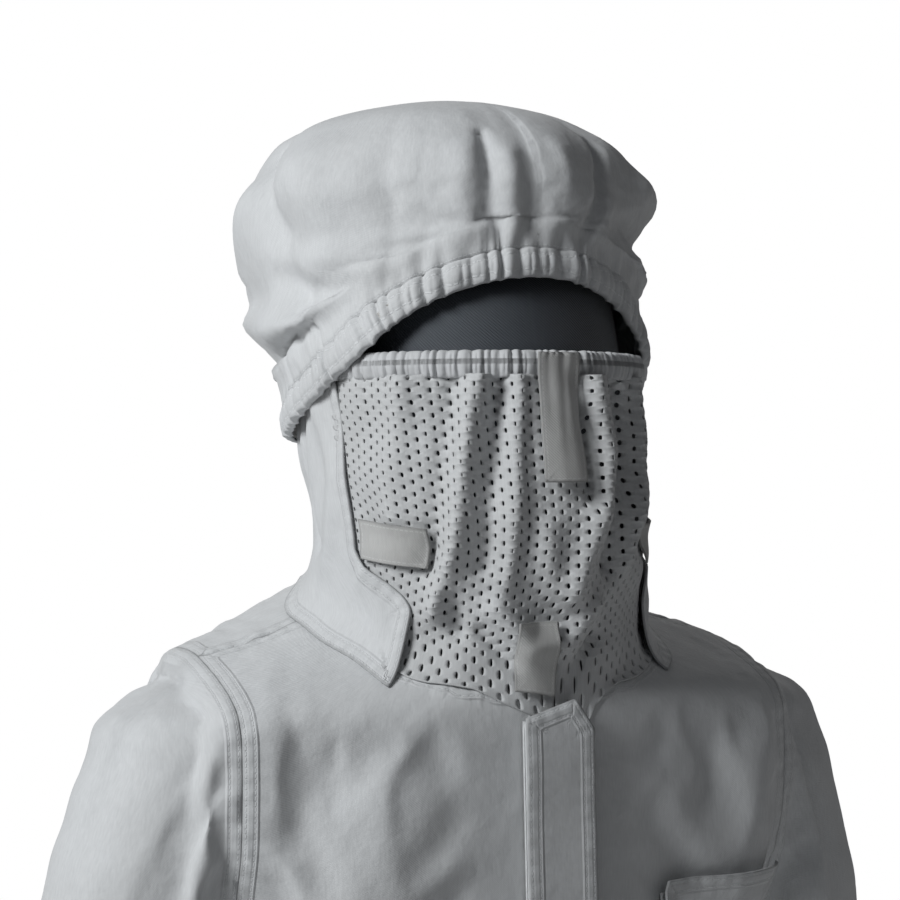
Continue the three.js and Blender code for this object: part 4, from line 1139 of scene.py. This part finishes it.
CROWN_FOLDS = [
    ([(-14.8, 312), (-13.5, 260), (-12.5, 226)], 4.5, -6.5), ([(-8.5, 300), (-8, 255), (-8, 228)], 7, 4.5),
    ([(-21, 300), (-20, 250), (-17, 225)], 9, 3.5), ([(30, 312), (17.5, 263), (13, 232)], 5, -7.0),
    ([(24, 275), (21, 245)], 8, 5.0), ([(8, 305), (7, 260), (5, 232)], 9, 3.0),
    ([(-99, 312), (-80, 255), (-74, 212)], 11, -8.5), ([(-70, 300), (-60, 250), (-58, 225)], 15, 4.5),
    ([(-84, 232), (-62, 214), (-44, 200)], 8, -4.0), ([(-78, 244), (-60, 230), (-40, 216)], 9, 3.5),
    ([(-118, 206), (-95, 200), (-68, 196)], 12, 9.0), ([(-130, 178), (-98, 177), (-72, 182), (-55, 192)], 9, -6.5),
    ([(-100, 290), (-112, 240)], 12, 6.0), ([(-45, 290), (-36, 250), (-33, 222)], 12, -3.5),
    ([(50, 290), (62, 280), (75, 284)], 12, 8.0), ([(38, 262), (50, 250), (72, 252)], 8, -6.0),
    ([(45, 236), (60, 226), (80, 222)], 8, 6.0), ([(95, 300), (100, 250), (92, 205)], 9, -7.0),
    ([(112, 290), (118, 240), (110, 190)], 11, 7.0), ([(132, 300), (138, 240), (130, 170)], 8, -7.0),
    ([(150, 290), (155, 230), (148, 160)], 12, 7.0), ([(170, 300), (176, 240), (172, 150)], 8, -6.0),
    ([(-168, 290), (-164, 230), (-170, 150)], 12, 7.0), ([(-150, 300), (-144, 240), (-152, 160)], 8, -7.0),
    ([(-132, 290), (-128, 230), (-134, 175)], 11, 7.0), ([(-110, 330), (-60, 336), (-20, 330)], 10, 4.0),
    ([(30, 330), (80, 334), (120, 328)], 10, -4.0),
]
crown_waves = waves(61, 8, 0.10)


def crown_out(angle, z):
    above_brim = z - brim_height(angle) - BRIM_BAND
    fade = np.exp(-np.maximum(above_brim, 0) / 15)
    lift = 5.0 * gathers(angle, 66, 2.7) * fade
    lift = lift + 6.0 * gathers(angle, 34, 1.1) * np.exp(-np.maximum(above_brim, 0) / 42) * smoothstep(above_brim, 0, 16)
    folds = 0.0
    for points, width, height in CROWN_FOLDS:
        for turn in (0, 2 * math.pi, -2 * math.pi):
            folds = folds + stroke(angle + turn, z, points, width, height)
    drift = 2.2 * crown_waves(angle * 0.13, z * MM)
    top_share = smoothstep(CROWN_TOP - z, 1, 34)
    return lift + (folds + drift) * smoothstep(above_brim, -2, 24) * (0.15 + 0.85 * top_share)


turn = np.linspace(0, 2 * math.pi, 300, endpoint=False)
rise = 1 - (1 - np.linspace(0, 1, 64)[:-1]) ** 1.7
angle, up = np.meshgrid(turn, rise)
edge = brim_height(angle) + BRIM_BAND - 1.0
level = edge + (CROWN_TOP - edge) * up
shaped = on_table(CROWN, angle, level, crown_out(angle, level))
crown = add_grid("hood_crown_cloth", shaped, closed=True)
work = bmesh.new()
work.from_mesh(crown.data)
rim = [e for e in work.edges if len(e.link_faces) == 1 and min(v.co.z for v in e.verts) > 0.34]
bmesh.ops.edgeloop_fill(work, edges=rim)
centre_face = max(work.faces, key=lambda f: len(f.verts))
bmesh.ops.poke(work, faces=[centre_face])
work.to_mesh(crown.data)
work.free()
CROWN_SLACK = 0.045
held = crown.vertex_groups.new(name="hold")
spots = positions(crown)
spot_angle = np.arctan2(spots[:, 0], -(spots[:, 1] - 0.03))
for i, high in enumerate(spots[:, 2] / MM - brim_height(spot_angle) - BRIM_BAND):
    held.add([i], float(1.0 if high < 2 else np.clip(0.9 - high / 30, 0.10, 0.9)), "REPLACE")
cloth = crown.modifiers.new("cloth", "CLOTH")
cloth.settings.quality = 5
cloth.settings.mass = 0.3
cloth.settings.tension_stiffness = 15
cloth.settings.compression_stiffness = 10
cloth.settings.shear_stiffness = 5
cloth.settings.bending_stiffness = 0.7
cloth.settings.shrink_min = -CROWN_SLACK
cloth.settings.vertex_group_mass = "hold"
cloth.settings.pin_stiffness = 0.8
cloth.settings.effector_weights.gravity = 0.6
cloth.collision_settings.use_collision = False
cloth.point_cache.frame_start = 1
cloth.point_cache.frame_end = FRAMES
for number in range(1, FRAMES + 1):
    bpy.context.scene.frame_set(number)
apply_modifiers(crown)
bpy.context.scene.frame_set(1)
shift = positions(crown) - spots
length = np.linalg.norm(shift, axis=1, keepdims=True)
above_brim = spots[:, 2] / MM - brim_height(spot_angle) - BRIM_BAND
settle = np.minimum(1, 0.012 / np.maximum(length, 1e-9)) * smoothstep(above_brim, 2, 48)[:, None]
move(crown, spots + shift * settle)
crown.vertex_groups.clear()
mark_edges(crown)
thicken(crown, 0.0014)
CROWN_COTTON = cloth_material("White cotton crown", (0.66, 0.672, 0.68), (0.60, 0.605, 0.603),
                              stitch=(0.0025, 0.0025), lap=-1.0, seam_depth=0.0003)
crown.data.materials.append(CROWN_COTTON)
declare(crown, "crown", ["hood_crown"], (0.78, 0.36))


def brim_place(angle, out, up):
    return on_table(CROWN, angle, brim_height(angle) + up, out + 0.8)


brim_turn = np.linspace(0, 2 * math.pi, 1080, endpoint=False)
add_casing("brim_casing_cloth", ["brim_casing"], "crown", brim_place, brim_turn, BRIM_BAND, 66, 2.7, 5.0,
           (0.86, 0.03))

# ---------- black screen behind the veil ----------
# A fine black netting stands between the face and the veil on two boned hoops, and four short tapes
# hold its side edges to the hood.
SCREEN = table([(246, 72, 68, 62), (205, 90, 97, 89), (170, 92, 108, 98), (90, 92, 120, 110), (0, 86, 104, 94)])
BLACK_NET = bpy.data.materials.new("Black netting")
BLACK_NET.use_nodes = True
tree = BLACK_NET.node_tree
shader = tree.nodes["Principled BSDF"]
shader.inputs["Specular IOR Level"].default_value = 0.45
shader.inputs["Sheen Weight"].default_value = 0.25
weave = tree.nodes.new("ShaderNodeGroup")
weave.node_tree = WEAVE
weave.inputs["Threads"].default_value = 900.0
tree.links.new(attribute_node(tree, "weave"), weave.inputs["Place"])
place = tree.nodes.new("ShaderNodeTexCoord").outputs["Object"]
cloudy = range_node(tree, noise_node(tree, place, 14.0, 4.0), 0.3, 0.7)
base = mix_colour(tree, cloudy, (0.036, 0.043, 0.054), (0.056, 0.066, 0.080))
# Painted highlight: the raised threads of the weave are painted lighter.
base = mix_colour(tree, math_node(tree, "MULTIPLY", weave.outputs["Height"], 0.6), base, (0.058, 0.067, 0.08))
tree.links.new(base, shader.inputs["Base Color"])
tree.links.new(range_node(tree, cloudy, 0, 1, 0.42, 0.56), shader.inputs["Roughness"])
bump = tree.nodes.new("ShaderNodeBump")
bump.inputs["Distance"].default_value = 0.0003
tree.links.new(weave.outputs["Height"], bump.inputs["Height"])
tree.links.new(bump.outputs[0], shader.inputs["Normal"])
across, up = np.meshgrid(np.radians(np.linspace(-88, 88, 120)), np.linspace(4, 246, 90))
screen_waves = waves(71, 5, 0.16)
screen = add_grid("face_screen_net", on_table(SCREEN, across, up, 0.5 * screen_waves(across * 0.1, up * MM)))
mark_edges(screen)
thicken(screen, 0.0008)
screen.data.materials.append(BLACK_NET)
declare(screen, "suit", ["face_screen"], (0.30, 0.25))

BONING = bpy.data.materials.new("Black boning")
BONING.use_nodes = True
tree = BONING.node_tree
shader = tree.nodes["Principled BSDF"]
place = tree.nodes.new("ShaderNodeTexCoord").outputs["Object"]
scuff = range_node(tree, noise_node(tree, place, 160.0, 4.0), 0.35, 0.7)
tree.links.new(mix_colour(tree, scuff, (0.018, 0.019, 0.021), (0.04, 0.041, 0.043)), shader.inputs["Base Color"])
tree.links.new(range_node(tree, scuff, 0, 1, 0.32, 0.5), shader.inputs["Roughness"])
for node in ("upper_hoop", "lower_hoop"):
    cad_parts[node].data.materials.clear()
    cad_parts[node].data.materials.append(BONING)


def add_ribbon(name, node, path, width_axis, width, material, thickness=0.0012):
    """A flat tape along a path of points, in millimetres, with its width along one axis."""
    path = np.array(path, float)
    steps_along = np.linspace(0, len(path) - 1, 8 * (len(path) - 1) + 1)
    line = np.stack([np.interp(steps_along, range(len(path)), path[:, k]) for k in range(3)], -1)
    across = np.linspace(-0.5, 0.5, 6)
    points = (line[:, None, :] + across[None, :, None] * width * np.array(width_axis, float)) * MM
    piece = add_grid(name, points)
    mark_edges(piece)
    length = np.linalg.norm(np.diff(path, axis=0), axis=1).sum()
    thicken(piece, thickness, offset=0)
    piece.data.materials.append(material)
    declare(piece, "suit", [node], (width * MM, length * MM))


for level_name, tab_z in (("upper", 146), ("lower", 36)):
    for side, label in ((1, "left"), (-1, "right")):
        low, high = (np.array(corner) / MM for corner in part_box(f"{level_name}_screen_tab_{label}"))
        middle = (low + high) / 2
        path = [(low[0], middle[1], middle[2]), (middle[0], middle[1], middle[2] - 0.8),
                (high[0], middle[1], middle[2])]
        add_ribbon(f"{level_name}_screen_tab_{label}_tape", f"{level_name}_screen_tab_{label}", path, (0, 0, 1),
                   high[2] - low[2], TAPE_CLOTH)

# ---------- neck binding, hang loop and elastics ----------
# A cotton tape binds the inside of the neck seam, with a folded tape loop behind the neck to hang the suit
# by. White elastic lies in every gathered casing.
angle, up = np.meshgrid(np.linspace(0, 2 * math.pi, 160, endpoint=False), np.linspace(-6, 6, 5))
binding = add_grid("neck_binding_tape", on_table(NECK, angle, neck_seam(angle) + up, -4.2), closed=True)
mark_edges(binding)
thicken(binding, 0.0012, offset=0)
binding.data.materials.append(TAPE_CLOTH)
declare(binding, "suit", ["neck_binding"], (0.63, 0.012))
low, high = (np.array(corner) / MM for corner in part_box("hang_loop"))
depth = (low[1] + high[1]) / 2
path = [(low[0] + 3, depth, high[2]), (low[0] + 3, depth, low[2] + 5), (low[0] + 6, depth, low[2] + 3),
        (high[0] - 6, depth, low[2] + 3), (high[0] - 3, depth, low[2] + 5), (high[0] - 3, depth, high[2])]
path = np.array(path)
steps_along = np.linspace(0, 5, 41)
line = np.stack([np.interp(steps_along, range(6), path[:, k]) for k in range(3)], -1)
heading = np.gradient(line, axis=0)
heading /= np.linalg.norm(heading, axis=1, keepdims=True)
sideways = np.stack([-heading[:, 2], 0 * heading[:, 0], heading[:, 0]], -1)
across = np.linspace(-2.8, 2.8, 5)
loop = add_grid("hang_loop_tape", (line[:, None, :] + across[None, :, None] * sideways[:, None, :]) * MM)
mark_edges(loop)
thicken(loop, 0.0012, offset=0)
loop.data.materials.append(TAPE_CLOTH)
loop_length = np.linalg.norm(np.diff(path, axis=0), axis=1).sum() * MM
declare(loop, "suit", ["hang_loop"], (0.0056, loop_length))

ELASTIC = bpy.data.materials.new("White elastic")
ELASTIC.use_nodes = True
tree = ELASTIC.node_tree
shader = tree.nodes["Principled BSDF"]
shader.inputs["Roughness"].default_value = 0.85
place = tree.nodes.new("ShaderNodeTexCoord").outputs["Object"]
ribs = tree.nodes.new("ShaderNodeTexWave")
ribs.bands_direction = "Z"
ribs.inputs["Scale"].default_value = 320.0
ribs.inputs["Distortion"].default_value = 0.4
tree.links.new(place, ribs.inputs["Vector"])
# Painted shade: the colour is darker in the hollows between the ribs and lighter on their crests.
tree.links.new(mix_colour(tree, ribs.outputs["Fac"], (0.56, 0.55, 0.53), (0.70, 0.69, 0.66)),
               shader.inputs["Base Color"])
bump = tree.nodes.new("ShaderNodeBump")
bump.inputs["Distance"].default_value = 0.0004
tree.links.new(ribs.outputs["Fac"], bump.inputs["Height"])
tree.links.new(bump.outputs[0], shader.inputs["Normal"])
for node in ("brim_elastic", "veil_elastic", "cuff_elastic_left", "cuff_elastic_right", "hem_elastic_left",
             "hem_elastic_right", "waist_elastic"):
    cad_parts[node].data.materials.clear()
    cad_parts[node].data.materials.append(ELASTIC)

# ---------- floor, light and camera ----------
# A pale studio: one broad soft light high on the wearer's right, weak fill from the other side, and a
# low pale surround, so that the folds read from every side.
bpy.ops.mesh.primitive_circle_add(vertices=128, radius=5.0, fill_type="NGON", location=(0, 0, HEM_Z * MM - 0.0005))
floor = bpy.context.object
floor.name = "studio_floor"
floor_paint = bpy.data.materials.new("Studio floor")
floor_paint.use_nodes = True
floor_paint.node_tree.nodes["Principled BSDF"].inputs["Base Color"].default_value = (0.86, 0.86, 0.86, 1)
floor_paint.node_tree.nodes["Principled BSDF"].inputs["Roughness"].default_value = 0.9
floor.data.materials.append(floor_paint)

world = bpy.data.worlds.new("Studio")
world.use_nodes = True
bpy.context.scene.world = world
bpy.context.scene.view_settings.view_transform = "Standard"
sky = world.node_tree
surround = sky.nodes["Background"]
surround.inputs["Color"].default_value = (0.92, 0.95, 1.0, 1)
surround.inputs["Strength"].default_value = 0.085
backdrop = sky.nodes.new("ShaderNodeBackground")
backdrop.inputs["Color"].default_value = (1, 1, 1, 1)
backdrop.inputs["Strength"].default_value = 1.0
seen = sky.nodes.new("ShaderNodeLightPath")
choose = sky.nodes.new("ShaderNodeMixShader")
sky.links.new(seen.outputs["Is Camera Ray"], choose.inputs[0])
sky.links.new(surround.outputs[0], choose.inputs[1])
sky.links.new(backdrop.outputs[0], choose.inputs[2])
sky.links.new(choose.outputs[0], sky.nodes["World Output"].inputs["Surface"])


def add_light(name, place, aim, size, power, colour):
    bpy.ops.object.light_add(type="AREA", location=place)
    light = bpy.context.object
    light.name = name
    light.data.shape = "SQUARE"
    light.data.size = size
    light.data.energy = power
    light.data.color = colour
    light.rotation_euler = (Vector(aim) - Vector(place)).to_track_quat("-Z", "Y").to_euler()


add_light("Key", (-2.3, -0.5, 1.25), (0, 0, 0.0), 0.95, 60, (0.965, 0.985, 1.0))
add_light("Fill right", (2.4, -0.6, 0.3), (0, 0, -0.3), 2.0, 2.2, (1.0, 0.94, 0.88))
add_light("Fill back", (0.8, 2.4, 0.9), (0, 0, -0.2), 2.2, 20, (1.0, 0.98, 0.96))

TURN = math.radians(-24)
bpy.ops.object.camera_add(location=(1.3 * math.sin(TURN) - 0.0131 * math.cos(TURN),
                                    -1.3 * math.cos(TURN) - 0.0131 * math.sin(TURN), 0.108),
                          rotation=(math.pi / 2, 0, TURN))
camera = bpy.context.object
camera.data.sensor_width = 36
camera.data.lens = 79.4
camera.data.clip_end = 200
bpy.context.scene.camera = camera
